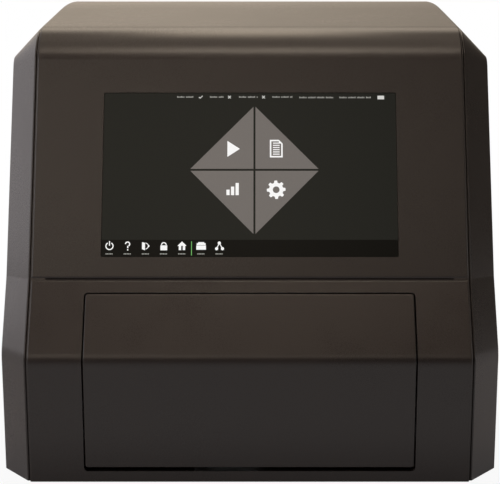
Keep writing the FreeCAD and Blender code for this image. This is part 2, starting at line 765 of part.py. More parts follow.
def rear_panel():
    """Flat plate that closes the back and carries the fan and the connectors."""
    half = WIDTH / 2 - REAR_MARGIN
    top = HEIGHT - REAR_MARGIN
    shoulder = rear_shoulder()
    points = [(-half, REAR_MARGIN), (-half, shoulder), (-HOOD_HALF, top)]
    points += [(HOOD_HALF, top), (half, shoulder), (half, REAR_MARGIN)]
    wire = outline(points, [3.0] * 6, lambda p: vec(p.x, BODY_DEPTH, p.y))
    plate = Part.Face(wire).extrude(vec(0, SHEET, 0))
    cuts = [grille_slots()]
    for x, z in rear_screw_places() + fan_screw_places():
        start = vec(x, BODY_DEPTH - 1, z)
        cuts.append(rod(SCREW_SHANK + CUT_OUT_GAP, start, vec(0, SHEET + 2, 0)))
    cuts.append(inlet_body(CUT_OUT_GAP))
    cuts += [slab(x, (BODY_DEPTH - 1, DEPTH), z) for x, z in port_limits(CUT_OUT_GAP)]
    for i in range(REAR_VENT_COUNT):
        x = REAR_VENT_START + i * REAR_VENT_PITCH
        limits = (x - VENT_WIDTH / 2, x + VENT_WIDTH / 2)
        tall = (VENT_BASE, VENT_BASE + VENT_HEIGHT)
        cuts.append(slab(limits, (BODY_DEPTH - 1, DEPTH), tall, VENT_WIDTH / 2 - 0.05, "y"))
    return plate.cut(Part.makeCompound(cuts))


def pan_screw(x, z):
    """Pan-head screw from behind, with a cross recess."""
    head = rod(SCREW_HEAD, vec(x, REAR_FACE, z), vec(0, FITTING_PROUD, 0))
    rim = edges_where(head, lambda b: b.YMin > DEPTH - 0.01)
    head = head.makeFillet(FITTING_PROUD * 0.6, rim)
    shank = rod(SCREW_SHANK, vec(x, BODY_DEPTH, z), vec(0, SHEET + 0.1, 0))
    thin = CROSS_WIDTH / 2
    depth = (DEPTH - FITTING_PROUD / 2, DEPTH + 1)
    recess = [
        slab((x - CROSS_HALF, x + CROSS_HALF), depth, (z - thin, z + thin)),
        slab((x - thin, x + thin), depth, (z - CROSS_HALF, z + CROSS_HALF)),
    ]
    return join([head, shank]).cut(Part.makeCompound(recess))


def rear_screws():
    return Part.makeCompound([pan_screw(x, z) for x, z in rear_screw_places() + fan_screw_places()])


def screen_glass():
    return on_face(window(-GLASS_CLEARANCE, GLASS_RECESS, GLASS_RECESS + GLASS_THICKNESS))


def screen_gasket():
    start = GLASS_RECESS + GLASS_THICKNESS
    end = start + GASKET_THICKNESS
    ring = window(-GLASS_CLEARANCE, start, end)
    return on_face(ring.cut(window(-GASKET_WIDTH, start - 1, end + 1)))


def lcd_front():
    return GLASS_RECESS + GLASS_THICKNESS + GASKET_THICKNESS + LEDGE_THICKNESS + SEAT


def lcd_panel():
    """Display module behind the ledge, its metal frame stepped round the glass."""
    start = lcd_front()
    body = window(LCD_MARGIN, start, start + LCD_THICKNESS, 3.0)
    step = window(LCD_MARGIN + 1, start - 1, start + 2.0, 3.0)
    face = body.cut(step.cut(window(-LEDGE_WIDTH - 3.0, start - 2, start + 3)))
    raised = window(LCD_MARGIN + 0.5, start + 2.0, start + LCD_THICKNESS - 2, 3.0)
    return on_face(join([face, raised]))


def bracket_front():
    return lcd_front() + LCD_THICKNESS + SEAT


def screen_bracket():
    """Folded plate that carries the display between the two uprights."""
    start = bracket_front()
    half = CHASSIS_HALF - SEAT
    tall = BRACKET_HEIGHT / 2
    plate = slab((-half, half), (start, start + SHEET), (-tall, tall), 4.0, "y")
    cut_half = SCREEN_WIDTH / 2 - BRACKET_RAIL
    through = (start - 1, start + SHEET + 1)
    gap = slab((-cut_half, cut_half), through, (-tall / 2, tall / 2), 8, "y")
    ears = []
    for side in (-1, 1):
        x = sorted((side * half, side * (half - SHEET)))
        ears.append(slab(x, (start, start + BRACKET_EAR), (-tall + 4, tall - 4)))
    return on_face(join([plate.cut(gap)] + ears))


def display_board():
    """Driver board on spacers behind the bracket, with its chips and plugs."""
    start = bracket_front() + SHEET
    board_y = start + BOARD_SPACER
    high = DRIVER_LOW + DRIVER_HEIGHT
    middle = DRIVER_LOW + DRIVER_HEIGHT / 2
    depth = (board_y, board_y + BOARD_THICKNESS)
    parts = [slab((-DRIVER_HALF, DRIVER_HALF), depth, (DRIVER_LOW, high), 3.0, "y")]
    for x in (SPACER_INSET - DRIVER_HALF, DRIVER_HALF - SPACER_INSET):
        parts.append(rod(SPACER_RADIUS, vec(x, start, middle), vec(0, BOARD_SPACER + 0.2, 0)))
    chip_y = (board_y + BOARD_THICKNESS - 0.1, board_y + 2.5 * BOARD_THICKNESS)
    for i in range(5):
        x = DRIVER_HALF * -0.7 + i * DRIVER_CHIP_PITCH
        limits = (x, x + 12.0 + 4.0 * (i % 3))
        parts.append(slab(limits, chip_y, (DRIVER_LOW + 8, high - 10), 0.5, "y"))
    return on_face(join(parts))


def drawer_front():
    """Folded, flanged shell that fills the opening in the fascia."""
    half = DRAWER_HALF
    layer = folded_layer(0.0, DRAWER_RETURN, HOOD_HALF)
    body = layer.common(drawer_outline(0.0, -1, FASCIA_DEPTH, DRAWER_CORNER))
    low = DRAWER_BASE + 0.01
    high = DRAWER_TOP - 0.01

    def on_rim(edge):
        box = edge.BoundBox
        at = edge.valueAt((edge.FirstParameter + edge.LastParameter) / 2)
        if at.y > front_y(at.z) + DRAWER_EDGE + 1.0:
            return False
        outermost = abs(at.x) > half - DRAWER_CORNER * 0.5
        return outermost or box.ZMax < low + DRAWER_CORNER or box.ZMin > high - DRAWER_CORNER

    body = body.makeFillet(DRAWER_EDGE, [e for e in body.Edges if on_rim(e)])
    hollow = folded_layer(WALL, FASCIA_DEPTH, HOOD_HALF)
    shell = body.cut(hollow.common(drawer_outline(-FLANGE_WALL, -1, FASCIA_DEPTH, 0.5)))
    bosses = []
    behind = folded_layer(WALL / 2, FASCIA_DEPTH - 1, HOOD_HALF)
    spread = TRAY_HALF - DRAWER_BOSS_INSET
    for x in (-spread, 0.0, spread):
        for z in (DRAWER_BOSS_LOW, TRAY_FRONT_TOP - DRAWER_BOSS_DROP):
            boss = rod(BOSS_RADIUS, vec(x, -1, z), vec(0, TRAY_FRONT + 1, 0))
            bosses.append(boss.common(behind))
    return join([shell] + bosses)


def front_y(height):
    """Depth of the lower front's surface at a height."""
    if height < RIDGE_HEIGHT:
        return LIP_SETBACK * (1 - height / RIDGE_HEIGHT)
    return fascia_y(height)


def drawer_tray():
    """Open moulded tray with a tall front wall that the drawer front screws to."""
    half = TRAY_HALF
    outer = slab((-half, half), (TRAY_FRONT, TRAY_BACK), (TRAY_FLOOR, TRAY_RIM))
    corners = edges_where(outer, lambda b: b.ZLength > 1)
    outer = outer.makeFillet(4.0, corners)
    wide = half - SHEET
    inner = slab(
        (-wide, wide),
        (TRAY_FRONT + SHEET, TRAY_BACK - SHEET),
        (TRAY_FLOOR + SHEET, TRAY_RIM + 1),
        2.0,
    )
    tall_half = half - 10.0
    wall = slab(
        (-tall_half, tall_half),
        (TRAY_FRONT, TRAY_FRONT + SHEET),
        (TRAY_FLOOR + 6, TRAY_FRONT_TOP),
        6.0,
        "y",
    )
    return join([outer.cut(inner), wall])


def heater_plate():
    half = NEST_HALF - HEATER_INSET
    plate = slab(
        (-half, half),
        (NEST_FRONT + HEATER_INSET, NEST_FRONT + NEST_LENGTH - HEATER_INSET),
        (TRAY_FLOOR + SHEET, NEST_BASE),
        4.0,
    )
    first = GROOVE_INSET - half
    pitch = -2 * first / (HEATER_GROOVES - 1)
    grooves = []
    for i in range(HEATER_GROOVES):
        x = first + i * pitch
        groove = (x, x + GROOVE_WIDTH)
        length = (NEST_FRONT + 20, NEST_FRONT + NEST_LENGTH - 20)
        grooves.append(slab(groove, length, (NEST_BASE - GROOVE_DEPTH, NEST_BASE + 1), 1.0))
    return plate.cut(Part.makeCompound(grooves))


def nest_bay(x, width, length, depth):
    """Cutter for one rounded bay, centred along the nest."""
    middle = NEST_FRONT + NEST_LENGTH / 2
    along = (middle - length / 2, middle + length / 2)
    across = (x - width / 2, x + width / 2)
    return slab(across, along, (NEST_TOP - depth, NEST_TOP + 1), BAY_CORNER)


def cartridge_nest():
    """Moulded block with a cartridge bay each side and a deeper bay for a tip strip."""
    block = slab(
        (-NEST_HALF, NEST_HALF), (NEST_FRONT, NEST_FRONT + NEST_LENGTH), (NEST_BASE, NEST_TOP), 6.0
    )
    top = edges_where(block, lambda b: b.ZMin > NEST_TOP - 0.01)
    block = block.makeFillet(1.5, top)
    cuts = [nest_bay(0.0, STRIP_WIDTH, STRIP_LENGTH, STRIP_DEPTH)]
    middle = NEST_FRONT + NEST_LENGTH / 2
    for x in (-BAY_CENTRE, BAY_CENTRE):
        cuts.append(nest_bay(x, BAY_WIDTH, BAY_LENGTH, BAY_DEPTH))
        for end in (middle - BAY_LENGTH / 2, middle + BAY_LENGTH / 2):
            start = vec(x, end, NEST_TOP - BAY_DEPTH)
            cuts.append(rod(THUMB_RADIUS, start, vec(0, 0, BAY_DEPTH + 1)))
    return block.cut(Part.makeCompound(cuts))


def slide_channel(web, tip, reach):
    """Channel section: a web near one side and two flanges that reach to the tip."""
    z0 = SLIDE_CENTRE - reach
    z1 = SLIDE_CENTRE + reach
    inward = 1 if tip > web else -1
    body = slab(sorted((web, tip)), SLIDE_LIMITS, (z0, z1))
    hollow_x = sorted((web + inward * SLIDE_SHEET, tip + inward))
    hollow_z = (z0 + SLIDE_SHEET, z1 - SLIDE_SHEET)
    return body.cut(slab(hollow_x, (SLIDE_FRONT - 1, TRAY_BACK + 1), hollow_z))


def slide_members():
    """The right-hand slide: inner member on the tray, middle, and outer on the bracket."""
    low = TRAY_HALF
    high = SLIDE_WALL
    half = SLIDE_HEIGHT / 2
    step = SLIDE_SHEET + SLIDE_PLAY
    mouth = low + SLIDE_SHEET + 1.2
    outer = slide_channel(high, mouth, half)
    middle = slide_channel(high - step - SLIDE_PLAY, mouth, half - step)
    inner = slide_channel(low, high - 3 * step + SLIDE_PLAY, half - 2 * step)
    screws = []
    for y in (SLIDE_FRONT + SLIDE_SCREW_INSET, TRAY_BACK - SLIDE_SCREW_INSET):
        start = vec(low + SLIDE_SHEET - 0.5, y, SLIDE_CENTRE)
        screws.append(rod(SLIDE_SCREW, start, vec(2.2, 0, 0)))
    return outer, middle, join([inner] + screws)


def slide_bracket():
    """Channel between the upright and the outer slide member."""
    x0 = SLIDE_WALL
    z0 = SLIDE_CENTRE - SLIDE_HEIGHT / 2
    z1 = SLIDE_CENTRE + SLIDE_HEIGHT / 2
    length = (SLIDE_FRONT + 12.0, TRAY_BACK)
    body = slab((x0, CHASSIS_HALF), length, (z0, z1))
    hollow = slab((x0 + SHEET, CHASSIS_HALF + 1), (0, BODY_DEPTH), (z0 + SHEET, z1 - SHEET))
    return body.cut(hollow)


def gear_profile(x, angle0):
    """Involute pinion section in the plane x, drawn round the axis at y = z = 0."""
    base = PITCH_RADIUS * math.cos(math.radians(PRESSURE_ANGLE))
    tip = PITCH_RADIUS + MODULE
    root = PITCH_RADIUS - 1.25 * MODULE
    involute = math.tan(math.radians(PRESSURE_ANGLE)) - math.radians(PRESSURE_ANGLE)
    half_tooth = math.pi / (2 * PINION_TEETH) - BACKLASH / (2 * PITCH_RADIUS) + involute

    def at(radius, angle):
        return vec(x, radius * math.sin(angle), radius * math.cos(angle))

    def flank(radius, centre, side):
        if radius <= base:
            return at(radius, centre + side * half_tooth)
        roll = math.acos(base / radius)
        return at(radius, centre + side * (half_tooth - math.tan(roll) + roll))

    edges = []
    pitch = 2 * math.pi / PINION_TEETH
    inner = max(base, root)
    middle = (inner + tip) / 2
    for i in range(PINION_TEETH):
        centre = angle0 + i * pitch
        up = [flank(r, centre, -1) for r in (root, inner, middle, tip)]
        down = [flank(r, centre, 1) for r in (tip, middle, inner, root)]
        edges.append(Part.LineSegment(up[0], up[1]).toShape())
        edges.append(Part.Arc(up[1], up[2], up[3]).toShape())
        edges.append(Part.Arc(up[3], at(tip, centre), down[0]).toShape())
        edges.append(Part.Arc(down[0], down[1], down[2]).toShape())
        edges.append(Part.LineSegment(down[2], down[3]).toShape())
        following = flank(root, centre + pitch, -1)
        edges.append(Part.Arc(down[3], at(root, centre + pitch / 2), following).toShape())
    return Part.Wire(edges)


def drive_pinion():
    """Pinion under the tray, a tooth space upward to take a tooth of the rack."""
    wire = gear_profile(RACK_X - RACK_WIDTH / 2, math.pi / PINION_TEETH)
    gear = Part.Face(wire).extrude(vec(RACK_WIDTH, 0, 0))
    hub_start = vec(RACK_X + RACK_WIDTH / 2 - 0.1, 0, 0)
    hub = rod(PINION_BORE + HUB_WALL, hub_start, vec(HUB_LENGTH, 0, 0))
    reach = RACK_WIDTH + 2 * HUB_LENGTH
    bore = rod(PINION_BORE + RUNNING_GAP, vec(RACK_X - reach, 0, 0), vec(2 * reach, 0, 0))
    whole = join([gear, hub]).cut(bore)
    whole.translate(vec(0, PINION_Y, PINION_Z))
    return whole


def drive_rack():
    """Toothed rack under the tray floor; one tooth hangs right over the pinion's axis."""
    pitch = math.pi * MODULE
    slant = math.tan(math.radians(PRESSURE_ANGLE))
    half = pitch / 4 - BACKLASH / 2
    deep = RACK_PITCH_LINE + 1.25 * MODULE
    tip = RACK_PITCH_LINE - MODULE
    points = []
    behind = round(DRAWER_TRAVEL / pitch + RACK_TEETH_SPARE)
    for i in range(-round(RACK_TEETH_AHEAD), behind):
        centre = PINION_Y + i * pitch
        points.append((centre - half - slant * 1.25 * MODULE, deep))
        points.append((centre - half + slant * MODULE, tip))
        points.append((centre + half - slant * MODULE, tip))
        points.append((centre + half + slant * 1.25 * MODULE, deep))
    start = points[0][0] - 2.0
    end = points[-1][0] + 2.0
    points = [(start, deep)] + points + [(end, deep), (end, TRAY_FLOOR), (start, TRAY_FLOOR)]
    x0 = RACK_X - RACK_WIDTH / 2
    wire = Part.makePolygon([vec(x0, y, z) for y, z in points + [points[0]]])
    return Part.Face(wire).extrude(vec(RACK_WIDTH, 0, 0))


def motor_face():
    """Place across of the bracket, clear of the pinion's hub."""
    return RACK_X + RACK_WIDTH / 2 + HUB_LENGTH + 3.0


def motor_bracket():
    """Bent plate on the base that holds the drawer motor by its nose."""
    x0 = motor_face()
    width = (PINION_Y - MOTOR_RADIUS - 2 * SHEET, PINION_Y + MOTOR_RADIUS + 2 * SHEET)
    top = PINION_Z + MOTOR_RADIUS
    upright = slab((x0, x0 + SHEET), width, (SHEET, top), 2, "x")
    sole = slab((x0, x0 + 2 * MOTOR_RADIUS), width, (SHEET, SHEET + 1.5), 1.0)
    nose = rod(MOTOR_NOSE + RUNNING_GAP, vec(x0 - 1, PINION_Y, PINION_Z), vec(SHEET + 2, 0, 0))
    return join([upright, sole]).cut(nose)


def drawer_motor():
    """Geared motor: a can, a gearhead, and the shaft that carries the pinion."""
    x0 = motor_face() + SHEET
    can = rod(MOTOR_RADIUS, vec(x0, PINION_Y, PINION_Z), vec(MOTOR_LENGTH, 0, 0))
    rims = edges_where(can, lambda b: b.XLength < 1e-3)
    can = can.makeFillet(1.5, rims)
    nose = rod(MOTOR_NOSE, vec(x0 - SHEET, PINION_Y, PINION_Z), vec(SHEET + 1, 0, 0))
    shaft_start = RACK_X - RACK_WIDTH / 2 - 1.0
    shaft = rod(PINION_BORE, vec(shaft_start, PINION_Y, PINION_Z), vec(x0 - shaft_start, 0, 0))
    tail_start = vec(x0 + MOTOR_LENGTH - 0.5, PINION_Y, PINION_Z)
    tail = rod(MOTOR_NOSE - 1.0, tail_start, vec(4.0, 0, 0))
    return join([can, nose, shaft, tail])


def fan_housing():
    half = FAN_SIZE / 2
    y0 = BODY_DEPTH - FAN_DEPTH
    across = (FAN_X - half, FAN_X + half)
    body = slab(across, (y0, BODY_DEPTH), (FAN_Z - half, FAN_Z + half), 6, "y")
    bore = rod(FAN_BORE, vec(FAN_X, y0 - 1, FAN_Z), vec(0, FAN_DEPTH + 2, 0))
    body = body.cut(bore)
    hub = rod(FAN_HUB, vec(FAN_X, y0, FAN_Z), vec(0, FAN_STRUT, 0))
    pin = rod(FAN_SHAFT, vec(FAN_X, y0 + FAN_STRUT - 1, FAN_Z), vec(0, FAN_DEPTH - 6.0, 0))
    struts = []
    for i in range(4):
        strut = slab((0, FAN_BORE + 1), (y0, y0 + FAN_STRUT - 0.5), (-2.0, 2.0))
        strut.rotate(vec(0, 0, 0), vec(0, 1, 0), 45 + 90 * i)
        strut.translate(vec(FAN_X, 0, FAN_Z))
        struts.append(strut)
    holes = []
    for x, z in fan_screw_places():
        holes.append(rod(SCREW_SHANK + 0.6, vec(x, y0 - 1, z), vec(0, FAN_DEPTH + 2, 0)))
    return join([body, hub, pin] + struts).cut(Part.makeCompound(holes))


def fan_blade():
    """One twisted blade, lofted from the hub to the tip."""
    sections = []
    tip = FAN_BORE - FAN_TIP_GAP
    for radius, chord, angle in ((FAN_HUB - 1, 15.0, 48.0), (tip, 26.0, 28.0)):
        a = math.radians(angle)
        along = vec(math.cos(a), math.sin(a), 0)
        across = vec(-math.sin(a), math.cos(a), 0)
        ends = [-along * (chord / 2), along * (chord / 2)]
        bow = across * 2.0
        thick = across * 0.7
        at = vec(0, 0, radius)
        upper = Part.Arc(at + ends[0] + thick, at + bow + thick, at + ends[1] + thick)
        lower = Part.Arc(at + ends[1] - thick, at + bow - thick, at + ends[0] - thick)
        close_a = Part.LineSegment(at + ends[1] + thick, at + ends[1] - thick)
        close_b = Part.LineSegment(at + ends[0] - thick, at + ends[0] + thick)
        pieces = [upper.toShape(), close_a.toShape(), lower.toShape(), close_b.toShape()]
        sections.append(Part.Wire(pieces))
    return Part.makeLoft(sections, True, True)


def fan_rotor():
    y0 = BODY_DEPTH - FAN_DEPTH + FAN_STRUT + SEAT
    length = FAN_DEPTH - FAN_STRUT - 2 * SEAT - 1.0
    hub = rod(FAN_HUB, vec(0, 0, 0), vec(0, length, 0))
    hub = hub.makeFillet(2.0, edges_where(hub, lambda b: b.YMin > length - 0.01))
    blades = []
    for i in range(FAN_BLADES):
        blade = fan_blade()
        blade.translate(vec(0, length / 2 - 0.5, 0))
        blade.rotate(vec(0, 0, 0), vec(0, 1, 0), 360.0 * i / FAN_BLADES)
        blades.append(blade)
    bore = rod(FAN_SHAFT + RUNNING_GAP, vec(0, -1, 0), vec(0, FAN_DEPTH - 6.0, 0))
    rotor = join([hub] + blades).cut(bore)
    rotor.translate(vec(FAN_X, y0, FAN_Z))
    return rotor


def inlet_body(grow):
    x = (INLET_X - INLET_WIDTH / 2 - grow, INLET_X + INLET_WIDTH / 2 + grow)
    z = (INLET_Z - INLET_HEIGHT / 2 - grow, INLET_Z + INLET_HEIGHT / 2 + grow)
    return slab(x, (BODY_DEPTH - INLET_DEPTH, REAR_FACE + 0.1), z)


def rocker_window():
    half = ROCKER_WIDTH / 2 + ROCKER_GAP
    tall = ROCKER_HALF + 3 * ROCKER_GAP
    z = INLET_Z + ROCKER_Z
    return (INLET_X - half, INLET_X + half), (z - tall, z + tall)


def fuse_limits(grow):
    half = FUSE_HALF + grow
    tall = FUSE_HALF_HEIGHT + grow
    z = INLET_Z + FUSE_Z
    return (INLET_X - half, INLET_X + half), (z - tall, z + tall)


def mains_inlet():
    """Mains module: a socket with three blades, a fuse drawer's slot and a switch window."""
    flange = slab(
        (INLET_X - INLET_WIDTH / 2 - INLET_FLANGE, INLET_X + INLET_WIDTH / 2 + INLET_FLANGE),
        (REAR_FACE, DEPTH),
        (INLET_Z - INLET_HEIGHT / 2 - 3, INLET_Z + INLET_HEIGHT / 2 + 3),
        4.0,
        "y",
    )
    rim = edges_where(flange, lambda b: b.YMin > DEPTH - 0.01)
    body = join([flange.makeFillet(0.8, rim), inlet_body(0.0)])
    zc = INLET_Z + SOCKET_Z
    a = SOCKET_WIDTH / 2
    b = SOCKET_HEIGHT / 2
    points = [(-a, -b), (-a, b - 5), (-a + 5, b), (a - 5, b), (a, b - 5), (a, -b)]
    points = [(INLET_X + p, zc + q) for p, q in points]
    wire = outline(points, [1.0] * 6, lambda p: vec(p.x, DEPTH + 1, p.y))
    socket = Part.Face(wire).extrude(vec(0, -SOCKET_DEPTH - 1, 0))
    x, z = rocker_window()
    switch = slab(x, (DEPTH - SOCKET_DEPTH + 7.0, DEPTH + 1), z)
    pivot = rod(
        ROCKER_PIN + RUNNING_GAP,
        vec(x[0] - ROCKER_PIN_REACH, DEPTH - ROCKER_AXIS_DEPTH, INLET_Z + ROCKER_Z),
        vec(x[1] - x[0] + 2 * ROCKER_PIN_REACH, 0, 0),
    )
    fuse_x, fuse_z = fuse_limits(FUSE_GAP)
    fuse = slab(fuse_x, (fuse_back() - SEAT, DEPTH + 1), fuse_z)
    body = body.cut(Part.makeCompound([socket, switch, fuse])).cut(pivot)
    blades = []
    for x, z in ((-7.0, -2.0), (7.0, -2.0), (0.0, 2.0)):
        at = (INLET_X + x - 1.0, INLET_X + x + 1.0)
        tall = (zc + z - 2.0, zc + z + 2.0)
        blades.append(slab(at, (DEPTH - SOCKET_DEPTH - 1, DEPTH - 6.0), tall))
    return join([body] + blades)


def fuse_back():
    return DEPTH - SOCKET_DEPTH - 2.5


def fuse_drawer():
    """Carrier for the fuses, with a finger notch at its top edge."""
    fuse_x, fuse_z = fuse_limits(0.0)
    body = slab(fuse_x, (fuse_back(), DEPTH - 0.4), fuse_z)
    notch_z = (fuse_z[1] - FUSE_HALF_HEIGHT / 2, fuse_z[1] + 1)
    notch = slab((INLET_X - 4, INLET_X + 4), (REAR_FACE, DEPTH), notch_z)
    return body.cut(notch)


def power_rocker():
    """Rocker with two faces and its own pivot pins, resting in its off position."""
    half = ROCKER_HALF
    foot_half = half - ROCKER_PIN
    points = [(2.0, -half), (-3.0, -foot_half), (-4.5, 0.0)]
    points += [(-3.0, foot_half), (2.0, half), (0.9, 0.0)]
    width = ROCKER_WIDTH
    body = prism_x(points, [0.6, 1.0, 3.0, 1.0, 0.6, 4.0], -width / 2, width / 2)
    reach = width + 2 * ROCKER_PIN_REACH
    pin = rod(ROCKER_PIN, vec(-reach / 2, 0, 0), vec(reach, 0, 0))
    rocker = join([body, pin])
    rocker.rotate(vec(0, 0, 0), vec(1, 0, 0), -ROCKER_TILT)
    rocker.translate(vec(INLET_X, DEPTH - ROCKER_AXIS_DEPTH, INLET_Z + ROCKER_Z))
    return rocker


def port_limits(grow):
    """Width and height limits of the two port blocks, side by side over the main board."""
    z = (PORT_Z - grow, PORT_Z + PORT_HEIGHT + grow)
    starts = [BOARD_LEFT + PORT_INSET + i * PORT_PITCH for i in range(2)]
    return [((x - grow, x + PORT_WIDTH + grow), z) for x in starts]


def usb_ports():
    """Two flat sockets one over the other, each with its contact tongue."""
    x, z = port_limits(0.0)[0]
    body = slab(x, (BODY_DEPTH - PORT_DEPTH, REAR_FACE + 0.4), z, 0.6, "y")
    cuts = []
    for low in (z[0] + 1.2, z[0] + 7.8):
        socket = slab((x[0] + 1.4, x[1] - 1.4), (REAR_FACE - 10, DEPTH), (low, low + 5.0))
        tongue_y = (REAR_FACE - 11, REAR_FACE - 1)
        tongue = slab((x[0] + 2.4, x[1] - 2.4), tongue_y, (low + 1.6, low + 3.4))
        cuts.append(socket.cut(tongue))
    return body.cut(Part.makeCompound(cuts))


def network_port():
    """Square socket with the notch for its plug's latch."""
    x, z = port_limits(0.0)[1]
    body = slab(x, (BODY_DEPTH - PORT_DEPTH, REAR_FACE + 0.4), z, 0.6, "y")
    socket = slab((x[0] + 2.0, x[1] - 2.0), (REAR_FACE - 12, DEPTH), (z[0] + 3.4, z[0] + 11.8))
    key = slab((x[0] + 5.0, x[1] - 5.0), (REAR_FACE - 12, DEPTH), (z[0] + 1.4, z[0] + 4))
    return body.cut(socket).cut(key)


def main_board():
    """Controller board on the deck, with spacers, chips and a finned heat sink."""
    top = PORT_Z
    z0 = top - BOARD_THICKNESS
    deck_top = DECK_HEIGHT + SHEET
    x_limits = (BOARD_LEFT, BOARD_LEFT + MAIN_BOARD_WIDTH)
    back = BODY_DEPTH - MAIN_BOARD_BACK
    front = back - MAIN_BOARD_LENGTH
    parts = [slab(x_limits, (front, back), (z0, top), 3.0)]
    for x in (x_limits[0] + SPACER_INSET, x_limits[1] - SPACER_INSET):
        for y in (front + SPACER_INSET, back - SPACER_INSET):
            parts.append(rod(SPACER_RADIUS, vec(x, y, deck_top), vec(0, 0, z0 + 0.1 - deck_top)))
    sink_x = x_limits[1] - 2 * SINK_SIZE
    sink_y = (front + 3 * SPACER_INSET, front + 3 * SPACER_INSET + SINK_SIZE)
    parts.append(slab((sink_x, sink_x + SINK_SIZE), sink_y, (top - 0.1, top + SINK_BASE)))
    for i in range(SINK_FINS):
        x = sink_x + 2.0 + i * SINK_PITCH
        parts.append(slab((x, x + 1.6), sink_y, (top + SINK_BASE - 0.1, top + SINK_HEIGHT)))
    for i in range(4):
        y = front + 2 * SPACER_INSET + i * (MAIN_BOARD_LENGTH / 6)
        chip_x = (x_limits[0] + 3 * SPACER_INSET, x_limits[0] + 5 * SPACER_INSET)
        parts.append(slab(chip_x, (y, y + 14), (top - 0.1, top + 2.4), 0.5))
    return join(parts)


def power_supply():
    """Vented metal case behind the drawer bay."""
    back = SUPPLY_FRONT + SUPPLY_LENGTH
    body = slab((-SUPPLY_HALF, SUPPLY_HALF), (SUPPLY_FRONT, back), (SHEET, SUPPLY_TOP))
    body = body.makeFillet(2.0, edges_where(body, lambda b: b.ZMin > SUPPLY_TOP - 1))
    first = -SUPPLY_SLOT_PITCH * (SUPPLY_SLOTS - 1) / 2
    inset_y = (SUPPLY_FRONT + SUPPLY_LENGTH / 6, back - SUPPLY_LENGTH / 4)
    slots = []
    for i in range(SUPPLY_SLOTS):
        x = first + i * SUPPLY_SLOT_PITCH
        limits = (x - VENT_WIDTH / 2, x + VENT_WIDTH / 2)
        slots.append(slab(limits, inset_y, (SUPPLY_TOP - 6, SUPPLY_TOP + 1), VENT_WIDTH / 2 - 0.05))
    return body.cut(Part.makeCompound(slots))


def gantry_post():
    """Right-hand post that carries the beam on the deck."""
    x0 = BEAM_HALF
    top = BEAM_BASE + BEAM_HEIGHT
    low = DECK_HEIGHT + SHEET
    points = [
        (BEAM_FRONT - 30, low),
        (BEAM_FRONT - 30, low + 8),
        (BEAM_FRONT - 4, top),
        (BEAM_FRONT + BEAM_DEPTH, top),
        (BEAM_FRONT + BEAM_DEPTH, low),
    ]
    plate = prism_x(points, [0, 2, 4, 4, 0], x0, x0 + POST_THICKNESS)
    hole = rod(12.0, vec(x0 - 1, BEAM_FRONT + 6, low + 32), vec(POST_THICKNESS + 2, 0, 0))
    return plate.cut(hole)


def gantry_beam():
    """Extruded beam with a slot along each face."""
    y = (BEAM_FRONT, BEAM_FRONT + BEAM_DEPTH)
    z = (BEAM_BASE, BEAM_BASE + BEAM_HEIGHT)
    body = slab((-BEAM_HALF, BEAM_HALF), y, z, 1.5, "x")
    span = (-BEAM_HALF - 1, BEAM_HALF + 1)
    bore_y = (y[0] + BEAM_WALL, y[1] - BEAM_WALL)
    cuts = [slab(span, bore_y, (z[0] + BEAM_WALL, z[1] - BEAM_WALL), 2, "x")]
    groove = BEAM_WALL / 2
    middle = BEAM_FRONT + BEAM_DEPTH / 2
    slot_y = (middle - BEAM_SLOT / 2, middle + BEAM_SLOT / 2)
    for limits in ((z[0] - 1, z[0] + groove), (z[1] - groove, z[1] + 1)):
        cuts.append(slab(span, slot_y, limits))
    slot_z = (RAIL_Z - BEAM_SLOT / 2, RAIL_Z + BEAM_SLOT / 2)
    cuts.append(slab(span, (y[1] - groove, y[1] + 1), slot_z))
    return body.cut(Part.makeCompound(cuts))


def rail_section(low, high, start, end, span):
    """Guide rail section with a narrower waist, as a pair of limits each way."""
    body = slab(span, (start, end), (low, high), 0.6, "x")
    waist = []
    for a, b in ((low - 1, low + 1.5), (high - 1.5, high + 1)):
        waist.append(slab(span, (start + 3.0, start + 6.0), (a, b)))
    return body.cut(Part.makeCompound(waist))


def gantry_rail():
    low = RAIL_Z - RAIL_WIDTH / 2
    span = (RAIL_INSET - BEAM_HALF, BEAM_HALF - RAIL_INSET)
    return rail_section(low, low + RAIL_WIDTH, RAIL_FRONT, BEAM_FRONT, span)


